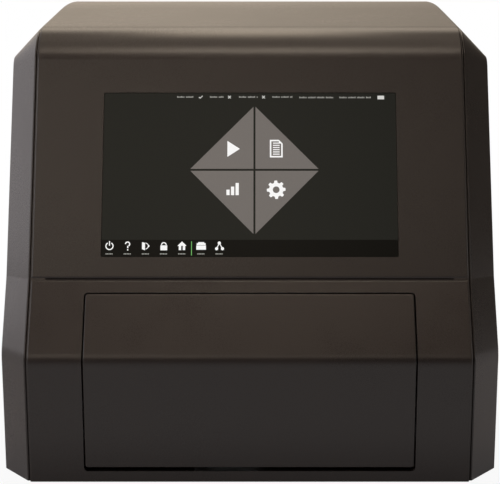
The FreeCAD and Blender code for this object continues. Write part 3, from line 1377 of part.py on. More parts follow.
def gantry_carriage():
    """Runner block on the rail, with the mast for the dispensing head and a belt clamp."""
    back = BEAM_FRONT - SEAT
    half = RAIL_WIDTH / 2 + SLIDING_GAP
    block = slab(
        (-CARRIAGE_HALF, CARRIAGE_HALF),
        (CARRIAGE_FRONT, back),
        (BEAM_BASE + 4, BEAM_BASE + BEAM_HEIGHT - 4),
        2.0,
        "x",
    )
    groove = slab(
        (-CARRIAGE_HALF - 1, CARRIAGE_HALF + 1),
        (RAIL_FRONT - SLIDING_GAP, back + 1),
        (RAIL_Z - half, RAIL_Z + half),
    )
    mast = slab(
        (-MAST_HALF, MAST_HALF),
        (MAST_FRONT, CARRIAGE_FRONT + 0.1),
        (BEAM_BASE, BEAM_BASE + MAST_HEIGHT),
        3.0,
        "y",
    )
    rail = slab(
        (-RAIL_WIDTH / 2, RAIL_WIDTH / 2),
        (MAST_RAIL_FRONT, MAST_FRONT + 0.1),
        (HEAD_BASE - HEAD_TRAVEL - 10, BEAM_BASE + MAST_HEIGHT - 2),
    )
    run = PULLEY_Z - PULLEY_RADIUS - BELT_THICKNESS
    clamp = slab(
        (-14, 14),
        (CARRIAGE_FRONT, BEAM_FRONT - 8),
        (BEAM_BASE + BEAM_HEIGHT - 6, run + BELT_THICKNESS + BELT_GAP + 3),
        1.0,
        "x",
    )
    slot = slab(
        (-15, 15),
        (belt_front() - BELT_GAP, BEAM_FRONT),
        (run - BELT_GAP, run + BELT_THICKNESS + BELT_GAP),
    )
    return join([block.cut(groove), mast, rail, clamp]).cut(slot)


def belt_front():
    return CARRIAGE_FRONT + 4.0


def dispense_head():
    """Block that climbs the mast's rail and grips the probe."""
    half = RAIL_WIDTH / 2 + SLIDING_GAP
    block = slab(
        (-HEAD_HALF, HEAD_HALF),
        (PROBE_Y - 2 * PROBE_RADIUS, MAST_FRONT - SEAT),
        (HEAD_BASE, HEAD_BASE + HEAD_HEIGHT),
        3.0,
    )
    groove = slab((-half, half), (MAST_RAIL_FRONT - SLIDING_GAP, MAST_FRONT), (0, HEIGHT))
    bore = rod(PROBE_RADIUS + RUNNING_GAP, vec(0, PROBE_Y, 0), vec(0, 0, HEIGHT))
    return block.cut(groove).cut(bore)


def probe():
    """Dispensing tube with a drawn-down tip and a hose barb."""
    top = HEAD_BASE + HEAD_HEIGHT + 8.0
    thin = PROBE_RADIUS / 3
    points = [
        vec(0.5, 0, PROBE_TIP),
        vec(thin, 0, PROBE_TIP),
        vec(thin, 0, PROBE_TIP + 24),
        vec(PROBE_RADIUS, 0, PROBE_TIP + 34),
        vec(PROBE_RADIUS, 0, top - 6),
        vec(PROBE_RADIUS - 1, 0, top),
        vec(0.5, 0, top),
    ]
    tube = Part.Face(Part.makePolygon(points + [points[0]])).revolve(vec(0, 0, 0), vec(0, 0, 1))
    tube.translate(vec(0, PROBE_Y, 0))
    return tube


def carriage_motor():
    """Square stepper on top of the beam; its shaft carries the drive pulley."""
    half = STEPPER_SIZE / 2
    y0 = BEAM_FRONT + 2.0
    body = slab(
        (PULLEY_X - half, PULLEY_X + half),
        (y0, y0 + STEPPER_LENGTH),
        (PULLEY_Z - half, PULLEY_Z + half),
        5.0,
        "y",
    )
    boss = rod(STEPPER_BOSS, vec(PULLEY_X, y0 - 2.0, PULLEY_Z), vec(0, 2.5, 0))
    return join([body, boss, pulley_shaft(PULLEY_X)])


def pulley_shaft(x):
    """Shaft or pin that carries a pulley, from before the belt into what holds it."""
    start = belt_front() - 3.5
    return rod(STEPPER_SHAFT, vec(x, start, PULLEY_Z), vec(0, BEAM_FRONT + 3.0 - start, 0))


def pulley(x):
    """Flanged belt pulley with a bore that runs on its shaft."""
    y0 = belt_front() - 0.5
    width = BELT_WIDTH + 1.0
    core = rod(PULLEY_RADIUS - 0.1, vec(x, y0, PULLEY_Z), vec(0, width, 0))
    rims = []
    for y in (y0 - 1.0, y0 + width):
        rims.append(rod(PULLEY_RADIUS + PULLEY_FLANGE, vec(x, y, PULLEY_Z), vec(0, 1.0, 0)))
    bore = rod(STEPPER_SHAFT + RUNNING_GAP, vec(x, 0, PULLEY_Z), vec(0, BODY_DEPTH, 0))
    return join([core] + rims).cut(bore)


def idler_block():
    """Block on the beam with the idler's fixed pin."""
    y0 = BEAM_FRONT + 2.0
    z0 = BEAM_BASE + BEAM_HEIGHT
    block_x = (-PULLEY_X - PULLEY_RADIUS - 4, -PULLEY_X + PULLEY_RADIUS + 4)
    block = slab(block_x, (y0, y0 + 18), (z0, PULLEY_Z + 10), 2.0, "y")
    return join([block, pulley_shaft(-PULLEY_X)])


def carriage_belt():
    """Closed belt round both pulleys."""
    y0 = belt_front()

    def loop(radius, start, end):
        flat = slab((-PULLEY_X, PULLEY_X), (start, end), (PULLEY_Z - radius, PULLEY_Z + radius))
        reach = vec(0, end - start, 0)
        ends = [rod(radius, vec(x, start, PULLEY_Z), reach) for x in (-PULLEY_X, PULLEY_X)]
        return join([flat] + ends)

    outer = loop(PULLEY_RADIUS + BELT_THICKNESS, y0, y0 + BELT_WIDTH)
    return outer.cut(loop(PULLEY_RADIUS, y0 - 1, y0 + BELT_WIDTH + 1))


def light_shroud():
    """Tapered light trap between the deck and the lens."""
    start = vec(0, CAMERA_Y, DECK_HEIGHT + SHEET)
    base = SHROUD_BASE_RADIUS - 2 * SHEET
    top = SHROUD_TOP_RADIUS - 2 * SHEET
    cone = Part.makeCone(SHROUD_BASE_RADIUS, SHROUD_TOP_RADIUS, SHROUD_HEIGHT, start)
    inner = Part.makeCone(base, top, SHROUD_HEIGHT, start)
    foot_ring = rod(SHROUD_BASE_RADIUS + 4 * SHEET, start, vec(0, 0, 2 * SHEET))
    ring_hole = rod(base, start, vec(0, 0, 2 * SHEET))
    return join([cone, foot_ring.cut(ring_hole)]).cut(inner)


def camera_lens():
    """Lens barrel with a focus ring, standing on the shroud."""
    z0 = DECK_HEIGHT + SHEET + SHROUD_HEIGHT
    r = LENS_RADIUS
    points = [(0, 0), (r + 4, 0), (r + 4, 4), (r - 2, 6), (r - 2, 14), (r, 15), (r, 28)]
    points += [(r - 2, 29), (r - 4, LENS_HEIGHT), (0, LENS_HEIGHT)]
    ring = [vec(a, 0, b) for a, b in points]
    barrel = Part.Face(Part.makePolygon(ring + [ring[0]])).revolve(vec(0, 0, 0), vec(0, 0, 1))
    barrel.translate(vec(0, CAMERA_Y, z0))
    return barrel


def imaging_camera():
    """Finned camera body on top of the lens."""
    z0 = DECK_HEIGHT + SHEET + SHROUD_HEIGHT + LENS_HEIGHT
    half = CAMERA_SIZE / 2

    def block(grow, low, high, corner):
        reach = half + grow
        return slab((-reach, reach), (CAMERA_Y - reach, CAMERA_Y + reach), (low, high), corner)

    body = block(0.0, z0, z0 + CAMERA_HEIGHT, 4.0)
    cuts = []
    for i in range(CAMERA_FINS):
        z = z0 + CAMERA_HEIGHT - (i + 1) * FIN_PITCH - FIN_GROOVE / 2
        ring = block(1.0, z, z + FIN_GROOVE, 0.0)
        cuts.append(ring.cut(block(-FIN_DEPTH, z - 1, z + FIN_GROOVE + 1, 2.0)))
    return body.cut(Part.makeCompound(cuts))


def save(name, shape):
    """Moves a sub-part into the part's frame and writes it."""
    moved = shape.copy()
    moved.translate(vec(0, -(DEPTH + RIDGE_FRONT) / 2, FOOT_HEIGHT))
    solids = moved.Solids
    whole = solids[0] if len(solids) == 1 else Part.makeCompound(solids)
    whole.exportStep("parts/" + name + ".step")
    print(name, "solids", len(solids), "volume", round(whole.Volume / 1000, 1), whole.isValid())


def main():
    os.makedirs("parts", exist_ok=True)
    outer, middle, inner = slide_members()
    for name, shape in (
        ("side_panel", side_panel()),
        ("chassis_plate", chassis_plate()),
        ("slide_bracket", slide_bracket()),
        ("outer_slide", outer),
        ("middle_slide", middle),
        ("inner_slide", inner),
        ("gantry_post", gantry_post()),
    ):
        save("right_" + name, shape)
        save("left_" + name, mirrored(shape))
    for name, (x, y) in foot_places().items():
        save(name, foot(x, y))
    save("drive_pulley", pulley(PULLEY_X))
    save("idler_pulley", pulley(-PULLEY_X))
    for make in (
        hood,
        lower_fascia,
        rear_panel,
        rear_screws,
        base_tray,
        deck,
        screen_glass,
        screen_gasket,
        lcd_panel,
        screen_bracket,
        display_board,
        drawer_front,
        drawer_tray,
        heater_plate,
        cartridge_nest,
        drive_rack,
        drive_pinion,
        motor_bracket,
        drawer_motor,
        fan_housing,
        fan_rotor,
        mains_inlet,
        fuse_drawer,
        power_rocker,
        usb_ports,
        network_port,
        main_board,
        power_supply,
        gantry_beam,
        gantry_rail,
        gantry_carriage,
        dispense_head,
        probe,
        carriage_motor,
        idler_block,
        carriage_belt,
        light_shroud,
        camera_lens,
        imaging_camera,
    ):
        save(make.__name__, make())


main()
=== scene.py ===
# %% [markdown]
# # A bench-top point-of-care analyzer
#
# The solids come from the CAD model, already at their real size. This lesson dresses them:
# it sets up a camera and a plain studio, writes a material for every finish, lays a tongue in
# each seam, and draws what the touch screen shows as thin pieces that lie on the glass. We
# load the model first and keep its box, because nothing that is added may make the object
# larger.

# %% Load the model
import json
import math

import bmesh
import bpy
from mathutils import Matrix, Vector


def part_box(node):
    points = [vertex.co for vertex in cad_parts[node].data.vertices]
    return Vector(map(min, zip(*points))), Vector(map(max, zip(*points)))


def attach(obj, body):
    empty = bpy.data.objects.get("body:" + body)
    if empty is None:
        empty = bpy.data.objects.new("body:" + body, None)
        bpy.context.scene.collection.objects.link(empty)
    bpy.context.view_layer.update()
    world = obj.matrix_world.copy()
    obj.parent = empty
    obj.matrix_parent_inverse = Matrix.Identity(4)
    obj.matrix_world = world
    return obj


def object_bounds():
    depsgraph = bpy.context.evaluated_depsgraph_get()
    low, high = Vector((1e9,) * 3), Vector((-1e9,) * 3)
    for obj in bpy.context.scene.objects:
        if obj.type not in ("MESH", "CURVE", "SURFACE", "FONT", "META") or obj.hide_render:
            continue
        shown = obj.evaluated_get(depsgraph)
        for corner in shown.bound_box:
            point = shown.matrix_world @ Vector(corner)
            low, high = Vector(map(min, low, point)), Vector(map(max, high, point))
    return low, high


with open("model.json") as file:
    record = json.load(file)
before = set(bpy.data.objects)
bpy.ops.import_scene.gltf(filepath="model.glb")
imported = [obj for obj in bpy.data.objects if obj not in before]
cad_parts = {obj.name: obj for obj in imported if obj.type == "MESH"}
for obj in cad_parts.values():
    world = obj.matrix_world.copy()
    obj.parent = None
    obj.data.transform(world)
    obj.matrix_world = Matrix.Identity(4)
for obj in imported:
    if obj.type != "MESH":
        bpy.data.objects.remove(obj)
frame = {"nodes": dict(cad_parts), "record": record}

CAD_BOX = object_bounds()
NODES = frame["nodes"]
print("solids:", len(NODES), "box:", [tuple(round(v, 4) for v in corner) for corner in CAD_BOX])

# %% [markdown]
# ## The camera
#
# The photograph was taken with a level camera about a metre and a half in front of the
# ridge, a little over half way up the object and a finger's width to the right. A level camera
# keeps upright edges upright. Instead of tilting or turning the view, the frame is shifted
# down and to the left, as an architect's lens does.

# %% Place the camera
CAMERA_DISTANCE = 1.5
CAMERA_SIDE = 0.0107
CAMERA_HEIGHT = 0.3194
SENSOR = 36.0
FOCAL_LENGTH = 98.66
SHIFT_X = -0.0186
SHIFT_Y = -0.084

camera_data = bpy.data.cameras.new("camera")
camera_data.sensor_width = SENSOR
camera_data.lens = FOCAL_LENGTH
camera_data.shift_x = SHIFT_X
camera_data.shift_y = SHIFT_Y
camera = bpy.data.objects.new("camera", camera_data)
camera.location = (CAMERA_SIDE, CAD_BOX[0][1] - CAMERA_DISTANCE, CAMERA_HEIGHT)
camera.rotation_euler = (math.radians(90.0), 0.0, 0.0)
bpy.context.scene.collection.objects.link(camera)
bpy.context.scene.camera = camera
bpy.context.scene.view_settings.view_transform = "Standard"
print("camera at", tuple(round(v, 3) for v in camera.location))

# %% [markdown]
# ## Shader maths as plain Python
#
# A procedural material is a graph of small nodes. Wiring sums and products by hand is slow
# to read, so a small class wraps a socket and turns Python's operators into Math nodes. The
# reflected forms let a plain number stand first, as in 1 - pattern.

# %% Write sums on sockets
class Wire:
    """An output socket whose sums and products become Math nodes."""

    def __init__(self, tree, socket):
        self.tree = tree
        self.socket = socket

    def math(self, operation, first, second):
        """Adds one Math node; each operand is a wire or a plain number."""
        node = self.tree.nodes.new("ShaderNodeMath")
        node.operation = operation
        for number, value in enumerate((first, second)):
            if isinstance(value, Wire):
                self.tree.links.new(value.socket, node.inputs[number])
            else:
                node.inputs[number].default_value = value
        return Wire(self.tree, node.outputs[0])

    def __add__(self, other):
        return self.math("ADD", self, other)

    def __radd__(self, other):
        return self.math("ADD", other, self)

    def __sub__(self, other):
        return self.math("SUBTRACT", self, other)

    def __rsub__(self, other):
        return self.math("SUBTRACT", other, self)

    def __mul__(self, other):
        return self.math("MULTIPLY", self, other)

    def __rmul__(self, other):
        return self.math("MULTIPLY", other, self)

    def __gt__(self, other):
        return self.math("GREATER_THAN", self, other)

    def __lt__(self, other):
        return self.math("LESS_THAN", self, other)

    def at_most(self, limit):
        return self.math("MINIMUM", self, limit)


print("a wire can be added, subtracted, multiplied, compared and limited")

# %% [markdown]
# Any other node comes from one method. It takes the node's type, the settings that change its
# sockets and so go first, and then the values or links of its inputs. The few nodes that come
# back often, such as a blend of two colours, have a short name of their own.

# %% Add nodes with one method
class Graph:
    """A node tree, with one method that adds any node to it."""

    def __init__(self, tree):
        self.tree = tree

    def node(self, kind, settings, values, output=0):
        """Adds a node: settings first, then numbers or links by socket name or number."""
        node = self.tree.nodes.new(kind)
        for name, value in settings.items():
            setattr(node, name, value)
        for name, value in values.items():
            if isinstance(value, Wire):
                self.tree.links.new(value.socket, node.inputs[name])
            else:
                node.inputs[name].default_value = value
        return Wire(self.tree, node.outputs[output])

    def split(self, wire):
        """The x, y and z of a vector as three wires."""
        outputs = self.node("ShaderNodeSeparateXYZ", {}, {"Vector": wire}).socket.node.outputs
        return [Wire(self.tree, output) for output in outputs]

    def rays(self, *kinds):
        """One wire for each kind of ray, which is 1 for such a ray and 0 for any other."""
        outputs = self.node("ShaderNodeLightPath", {}, {}).socket.node.outputs
        return [Wire(self.tree, outputs[kind]) for kind in kinds]

    def ramp(self, value, low, high):
        """Rises evenly from 0 to 1 between two values."""
        limits = {"Value": value, "From Min": low, "From Max": high}
        return self.node("ShaderNodeMapRange", {}, limits)

    def mix(self, factor, first, second):
        """Blend of two colours."""
        values = {0: factor, 6: first, 7: second}
        return self.node("ShaderNodeMix", {"data_type": "RGBA"}, values, 2)

    def connect(self, wire, socket):
        self.tree.links.new(wire.socket, socket)


print("a graph adds nodes:", [name for name in vars(Graph) if not name.startswith("_")])

# %% [markdown]
# Every finish starts from the same base shader. Constants are written straight on its
# sockets, and only what changes over a surface is linked: colour, roughness, glow or a bump.
# Patterns are placed in the solid's own space, so they move with it.

# %% Hold one material
class Finish(Graph):
    """One material: its base shader, and patterns measured in the solid's own space."""

    def __init__(self, name, **constants):
        self.material = bpy.data.materials.new(name)
        self.material.use_nodes = True
        super().__init__(self.material.node_tree)
        self.shader = self.tree.nodes["Principled BSDF"]
        for socket, value in constants.items():
            self.shader.inputs[socket.replace("_", " ")].default_value = value

    def place(self):
        """Position in the solid's own space, in metres."""
        return self.node("ShaderNodeTexCoord", {}, {}, "Object")

    def noise(self, scale, detail=3.0, roughness=0.5):
        """Soft random pattern; scale is how many spots there are to the metre."""
        values = {"Vector": self.place(), "Scale": scale, "Detail": detail, "Roughness": roughness}
        return self.node("ShaderNodeTexNoise", {}, values)

    def feed(self, socket, wire):
        """Links a wire to one of the base shader's inputs."""
        self.connect(wire, self.shader.inputs[socket])

    def bump(self, height, strength, distance):
        """Feeds a bump made from a height pattern to the shader's Normal."""
        values = {"Height": height, "Strength": strength, "Distance": distance}
        self.feed("Normal", self.node("ShaderNodeBump", {}, values, "Normal"))

    def glow(self, colour):
        """Lets the surface shine by itself in this colour."""
        self.feed("Emission Color", colour)
        self.shader.inputs["Emission Strength"].default_value = 1.0


FINISHES = {}


def keep(slot, finish):
    """Keeps a finish under its material slot and says how large its graph is."""
    FINISHES[slot] = finish.material
    print(slot, "->", finish.material.name, "with", len(finish.tree.nodes), "nodes")


print("finishes so far:", len(FINISHES))

# %% [markdown]
# ## The studio
#
# The photograph is a cut-out look: white behind, a bright left side and a dark right side.
# The background is white only to the camera. Other rays get a plain dim light, so a colour
# renders about as it is written. What a reflection sees depends on where its ray heads, so
# we first split that heading into three numbers: to the right, to the back and to the top.
# The square of the first says how far it heads to either side.

# %% Read where a ray heads
world = bpy.data.worlds.new("studio")
world.use_nodes = True
bpy.context.scene.world = world
studio = Graph(world.node_tree)
seen, glossy, through = studio.rays("Is Camera Ray", "Is Glossy Ray", "Is Transmission Ray")
to_right, to_back, to_top = studio.split(studio.node("ShaderNodeTexCoord", {}, {}, "Generated"))
from_middle = to_right * to_right


def zone(value, edges):
    """Rises from 0 to 1 between the first two edges, and falls between the last two."""
    low, full, fading, out = edges
    return studio.ramp(value, low, full) * (1 - studio.ramp(value, fading, out))


print("the studio knows the heading of each ray")

# %% [markdown]
# Behind the object a broad sheen fades towards the right. The sloping top and the left
# chamfer reflect it, and the right chamfer gets only a faint fill. Where the top bends over
# into the brow it reflects less and less, so a brighter strip stands higher up behind the
# object, and keeps the top's band of light even down to the bend.

# %% Light what is behind
SHEEN = 1.0
SHEEN_TURN = 0.3
SHEEN_EDGE = (0.05, 0.4)
SHEEN_END = (-0.05, 0.55)
RIGHT_FILL = 0.07
RIGHT_FILL_EDGE = (0.3, 0.6)
CREST_STRIP = 3.0
CREST_EDGES = (0.28, 0.50, 0.64, 0.78)
CREST_WIDTH = (0.05, 0.20)

sheen = studio.ramp(to_back - to_right * SHEEN_TURN, *SHEEN_EDGE)
sheen = sheen * (1 - studio.ramp(to_right, *SHEEN_END)) * SHEEN
sheen = sheen + studio.ramp(to_right, *RIGHT_FILL_EDGE) * RIGHT_FILL
crest_strip = zone(to_back, CREST_EDGES) * CREST_STRIP
crest_strip = crest_strip * (1 - studio.ramp(from_middle, *CREST_WIDTH))
print("sheen", SHEEN, "and crest strip", CREST_STRIP)

# %% [markdown]
# In front the studio is dark at eye level, which draws the ridge as a dark band. One pale
# band above the eye lights the leaning face, less so on the right. A bright strip high up,
# strongest in the middle, puts the second highlight on the rounded brow, and a soft light
# right overhead fills the bend between the two highlights.

# %% Light what is in front and above
FRONT_EDGE = (0.0, 0.3)
PALE_BAND = 3.2
PALE_EDGES = (0.20, 0.32, 0.43, 0.49)
PALE_RIGHT_EDGE = (0.0, 0.15)
PALE_RIGHT_LOSS = 0.65
HIGH_STRIP = 20.0
HIGH_EDGES = (0.66, 0.71, 0.77, 0.85)
HIGH_SIDE_LOSS = 0.9
OVERHEAD = 2.3
OVERHEAD_EDGE = (0.80, 0.86)
OVERHEAD_END = (0.0, 0.25)
SIDE_EDGE = (0.0, 0.015)
SIDE_LOSS = 0.25

frontness = studio.ramp(0 - to_back, *FRONT_EDGE)
sideways = studio.ramp(from_middle, *SIDE_EDGE)
pale_band = frontness * zone(to_top, PALE_EDGES) * PALE_BAND
pale_band = pale_band * (1 - studio.ramp(to_right, *PALE_RIGHT_EDGE) * PALE_RIGHT_LOSS)
high_strip = frontness * zone(to_top, HIGH_EDGES) * HIGH_STRIP
high_strip = high_strip * (1 - sideways * HIGH_SIDE_LOSS)
overhead = studio.ramp(to_top, *OVERHEAD_EDGE) * (1 - studio.ramp(to_back, *OVERHEAD_END))
above = (overhead * OVERHEAD + crest_strip) * (1 - sideways * SIDE_LOSS)
reflected = sheen + pale_band + high_strip + above
print("pale band", PALE_BAND, "high strip", HIGH_STRIP, "overhead", OVERHEAD)

# %% [markdown]
# Reflections are warm, and neutral to the left, as in the photograph. The camera and rays
# that pass through glass see full white, and all the rest see the dim ambient light.

# %% Join the studio together
AMBIENT = 0.09
LEFT_EDGE = (0.25, 0.6)
WHITE = (1.0, 1.0, 1.0, 1.0)
WARM = (1.0, 0.855, 0.69, 1.0)
NEUTRAL = (0.95, 0.90, 0.92, 1.0)

background = studio.tree.nodes["Background"]
tint = studio.mix(studio.ramp(0 - to_right, *LEFT_EDGE), WARM, NEUTRAL)
studio.connect(studio.mix(glossy, WHITE, tint), background.inputs["Color"])
plain = 1 - seen - glossy - through
strength = seen + through + glossy * reflected + plain * AMBIENT
studio.connect(strength, background.inputs["Strength"])
print("world nodes:", len(studio.tree.nodes))

# %% [markdown]
# Four soft lamps shape the cabinet. The key lamp stands to the left and in front, so the
# front fades from left to right. The lamp above lights the rounded brow and the sloping top.
# Two low lamps, at the right and behind, keep the other sides readable.

# %% Hang the lamps
MIDDLE = Vector((0.0, 0.0, 0.3))
WHITE_LIGHT = (1.0, 1.0, 1.0)
WARM_LIGHT = (1.0, 0.84, 0.66)


def soft_lamp(name, place, width, height, watts, colour):
    """Rectangular lamp that faces the middle of the cabinet."""
    data = bpy.data.lights.new(name, "AREA")
    data.shape = "RECTANGLE"
    data.size = width
    data.size_y = height
    data.energy = watts
    data.color = colour
    lamp = bpy.data.objects.new(name, data)
    lamp.location = place
    lamp.rotation_euler = (MIDDLE - Vector(place)).to_track_quat("-Z", "Y").to_euler()
    bpy.context.scene.collection.objects.link(lamp)
    print(name, watts, "watts at", place)


soft_lamp("key_lamp", (-1.8, -1.5, 0.9), 1.2, 1.2, 12.0, WHITE_LIGHT)
soft_lamp("top_lamp", (0.0, 0.3, 2.3), 0.5, 0.8, 7.0, WARM_LIGHT)
soft_lamp("right_lamp", (2.2, -0.4, 0.4), 0.5, 0.5, 4.0, WHITE_LIGHT)
soft_lamp("back_lamp", (0.0, 2.4, 0.3), 1.0, 0.6, 11.0, WHITE_LIGHT)

# %% [markdown]
# The floor is plain and nearly white to the camera. A share of it glows, more with distance,
# so it meets the white background without a line and still takes the object's shadow. Light
# that bounces off it sees a duller floor, or it would whiten the lower edges of the cabinet.
# Reflections see a dim floor too, apart from a bright strip close in front of the cabinet,
# which the lower half of the drawer mirrors.

# %% Mix the floor's finish
FLOOR_GLOW = 0.93
FLOOR_FADE = 0.07
FLOOR_SEEN = (0.9, 0.9, 0.9, 1.0)
FLOOR_BOUNCE = (0.38, 0.38, 0.38, 1.0)
FLOOR_MIRRORED = (0.62, 0.57, 0.59, 1.0)
FRONT_GLOW = 0.92
FRONT_NEAR = (0.2, 0.35)
FRONT_FAR = (-1.1, -0.6)
SIDE_GLOW = 0.13

floor_finish = Finish("floor_white", Roughness=0.9)
floor_seen, floor_glossy = floor_finish.rays("Is Camera Ray", "Is Glossy Ray")
unseen = floor_finish.mix(floor_glossy, FLOOR_BOUNCE, FLOOR_MIRRORED)
floor_finish.feed("Base Color", floor_finish.mix(floor_seen, unseen, FLOOR_SEEN))
floor_x, floor_y = floor_finish.split(floor_finish.place())[:2]
fade = ((floor_x * floor_x + floor_y * floor_y) * FLOOR_FADE).at_most(1 - FLOOR_GLOW)
ahead = floor_finish.ramp(0 - floor_y, *FRONT_NEAR) * floor_finish.ramp(floor_y, *FRONT_FAR)
share = floor_seen * (fade + FLOOR_GLOW) + floor_glossy * (ahead * FRONT_GLOW + SIDE_GLOW)
painted = Wire(floor_finish.tree, floor_finish.shader.outputs[0])
glowing = floor_finish.node("ShaderNodeEmission", {}, {})
surface = floor_finish.node("ShaderNodeMixShader", {}, {0: share, 1: painted, 2: glowing})
floor_finish.connect(surface, floor_finish.tree.nodes["Material Output"].inputs["Surface"])
print("floor nodes:", len(floor_finish.tree.nodes))

# %% [markdown] The floor itself is one large square.

# %% Lay the floor
FLOOR_HALF = 8.0

floor_mesh = bpy.data.meshes.new("floor")
corners = [(-FLOOR_HALF, -FLOOR_HALF), (FLOOR_HALF, -FLOOR_HALF)]
corners += [(FLOOR_HALF, FLOOR_HALF), (-FLOOR_HALF, FLOOR_HALF)]
floor_mesh.from_pydata([(x, y, 0.0) for x, y in corners], [], [(0, 1, 2, 3)])
floor = bpy.data.objects.new("floor", floor_mesh)
floor_mesh.materials.append(floor_finish.material)
bpy.context.scene.collection.objects.link(floor)
print("floor side:", 2 * FLOOR_HALF, "m")

# %% [markdown]
# ## The moulded covers
#
# The hood, fascia, side panels and drawer front are moulded and painted in one warm, dark
# grey-brown. The paint is satin: highlights are broad, and close up there is a fine orange
# peel and a very faint drift in tone. Two noise patterns at different scales do both.

# %% Paint the covers
COVER_DARK = (0.041, 0.0313, 0.0282, 1.0)
COVER_LIGHT = (0.046, 0.0352, 0.0318, 1.0)
COVER_ROUGHNESS = 0.23
DRIFT_SCALE = 9.0
PEEL_SCALE = 1400.0


def cover_finish():
    finish = Finish("cover_paint", Roughness=0.42, Specular_IOR_Level=0.25)
    drift = finish.noise(DRIFT_SCALE, 2.0)
    finish.feed("Base Color", finish.mix(drift, COVER_DARK, COVER_LIGHT))
    peel = finish.noise(PEEL_SCALE, 2.0, 0.6)
    finish.feed("Roughness", COVER_ROUGHNESS + drift * 0.05 + peel * 0.05)
    finish.bump(peel, 0.10, 0.0004)
    return finish


keep("cover", cover_finish())

# %% [markdown]
# ## The touch screen
#
# The glass is one sheet with a display bonded behind it, so it is made as a dark, smooth
# surface that glows faintly. The lit picture is a shade of grey with a darker toolbar along
# the bottom, told apart by height. A broad smear pattern stirs the polish and the black.

# %% Light the screen
SCREEN_LOW, SCREEN_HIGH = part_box("screen_glass")
SCREEN_TALL = SCREEN_HIGH.z - SCREEN_LOW.z
TOOLBAR_SHARE = 0.104
PICTURE_GLOW = (0.0118, 0.0120, 0.0096, 1.0)
TOOLBAR_GLOW = (0.0012, 0.0012, 0.0007, 1.0)
GLASS_DARK = (0.004, 0.004, 0.004, 1.0)
GLASS_LIGHT = (0.006, 0.006, 0.006, 1.0)


def screen_finish():
    finish = Finish("screen_glass", Roughness=0.12, Specular_IOR_Level=0.04)
    height = finish.split(finish.place())[2]
    toolbar = height < SCREEN_LOW.z + TOOLBAR_SHARE * SCREEN_TALL
    finish.glow(finish.mix(toolbar, PICTURE_GLOW, TOOLBAR_GLOW))
    smear = finish.noise(14.0, 4.0, 0.6)
    finish.feed("Roughness", 0.08 + smear * 0.06)
    finish.feed("Base Color", finish.mix(smear, GLASS_DARK, GLASS_LIGHT))
    return finish


keep("screen", screen_finish())
print("the toolbar is", round(TOOLBAR_SHARE * SCREEN_TALL, 4), "m tall")

# %% [markdown]
# ## Metals
#
# Sheet metal, slides and machined parts differ in how the light is scattered. Bent sheet has
# a zinc coat with a mottled sheen, and machined aluminium is pale with a soft, even haze.
# The rear panel and the base wear a dark powder coat with a pebbled skin.

# %% Finish the sheet metal and aluminium
ZINC_DARK = (0.42, 0.43, 0.44, 1.0)
ZINC_LIGHT = (0.6, 0.61, 0.62, 1.0)
ALUMINIUM_DARK = (0.66, 0.67, 0.69, 1.0)
ALUMINIUM_LIGHT = (0.76, 0.77, 0.78, 1.0)
POWDER_DARK = (0.024, 0.021, 0.02, 1.0)
POWDER_LIGHT = (0.03, 0.026, 0.025, 1.0)


def sheet_finish():
    finish = Finish("zinc_sheet", Metallic=0.85, Specular_IOR_Level=0.5)
    mottle = finish.noise(60.0, 5.0, 0.7)
    finish.feed("Base Color", finish.mix(mottle, ZINC_DARK, ZINC_LIGHT))
    finish.feed("Roughness", 0.32 + mottle * 0.2)
    finish.bump(finish.noise(900.0, 2.0), 0.05, 0.0003)
    return finish


def aluminium_finish():
    finish = Finish("machined_aluminium", Metallic=1.0)
    haze = finish.noise(220.0, 4.0, 0.6)
    finish.feed("Base Color", finish.mix(haze, ALUMINIUM_DARK, ALUMINIUM_LIGHT))
    finish.feed("Roughness", 0.3 + haze * 0.12)
    return finish


def powder_coat_finish():
    finish = Finish("powder_coat", Specular_IOR_Level=0.4)
    cells = {"Vector": finish.place(), "Scale": 900.0}
    pebbles = finish.node("ShaderNodeTexVoronoi", {}, cells, "Distance")
    drift = finish.noise(7.0, 2.0)
    finish.feed("Base Color", finish.mix(drift, POWDER_DARK, POWDER_LIGHT))
    finish.feed("Roughness", 0.5 + pebbles * 0.15)
    finish.bump(pebbles, 0.12, 0.0005)
    return finish


keep("bare_sheet", sheet_finish())
keep("machined_aluminium", aluminium_finish())
keep("painted_sheet", powder_coat_finish())

# %% [markdown]
# Drawn and ground steel has fine lines along its length. A noise that is squeezed across and
# stretched along the slides draws them, and the same lines make a very low bump.

# %% Finish the steels
LINES_ACROSS = 1500.0
LINES_ALONG = 18.0


def steel_finish(name, tone, rough):
    """Steel with fine lines along y, the way slides and rails are drawn."""
    finish = Finish(name, Metallic=1.0)
    squeeze = {"Vector": finish.place(), "Scale": (LINES_ACROSS, LINES_ALONG, LINES_ACROSS)}
    stretched = finish.node("ShaderNodeMapping", {}, squeeze)
    pattern = {"Vector": stretched, "Scale": 1.0, "Detail": 2.0}
    lines = finish.node("ShaderNodeTexNoise", {}, pattern)
    dark = (tone * 0.8, tone * 0.8, tone * 0.82, 1.0)
    finish.feed("Base Color", finish.mix(lines, dark, (tone, tone, tone * 1.01, 1.0)))
    finish.feed("Roughness", rough + lines * 0.14)
    finish.bump(lines, 0.06, 0.0002)
    return finish


keep("slide_steel", steel_finish("slide_steel", 0.62, 0.22))
keep("machined_steel", steel_finish("machined_steel", 0.52, 0.28))
keep("connector_metal", steel_finish("connector_shell", 0.66, 0.24))

# %% [markdown]
# ## Plastics, rubber and circuit board
#
# Hidden and rear fittings are spark-eroded mouldings: matt, with a tight grain. One function
# makes them all from a colour and a roughness. The boards get solder resist with lighter
# tracks where a wave pattern is high.

# %% Finish the plastics and boards
RESIST = (0.01, 0.09, 0.04, 1.0)
TRACKS = (0.02, 0.17, 0.075, 1.0)
TRACK_LEVEL = 0.62


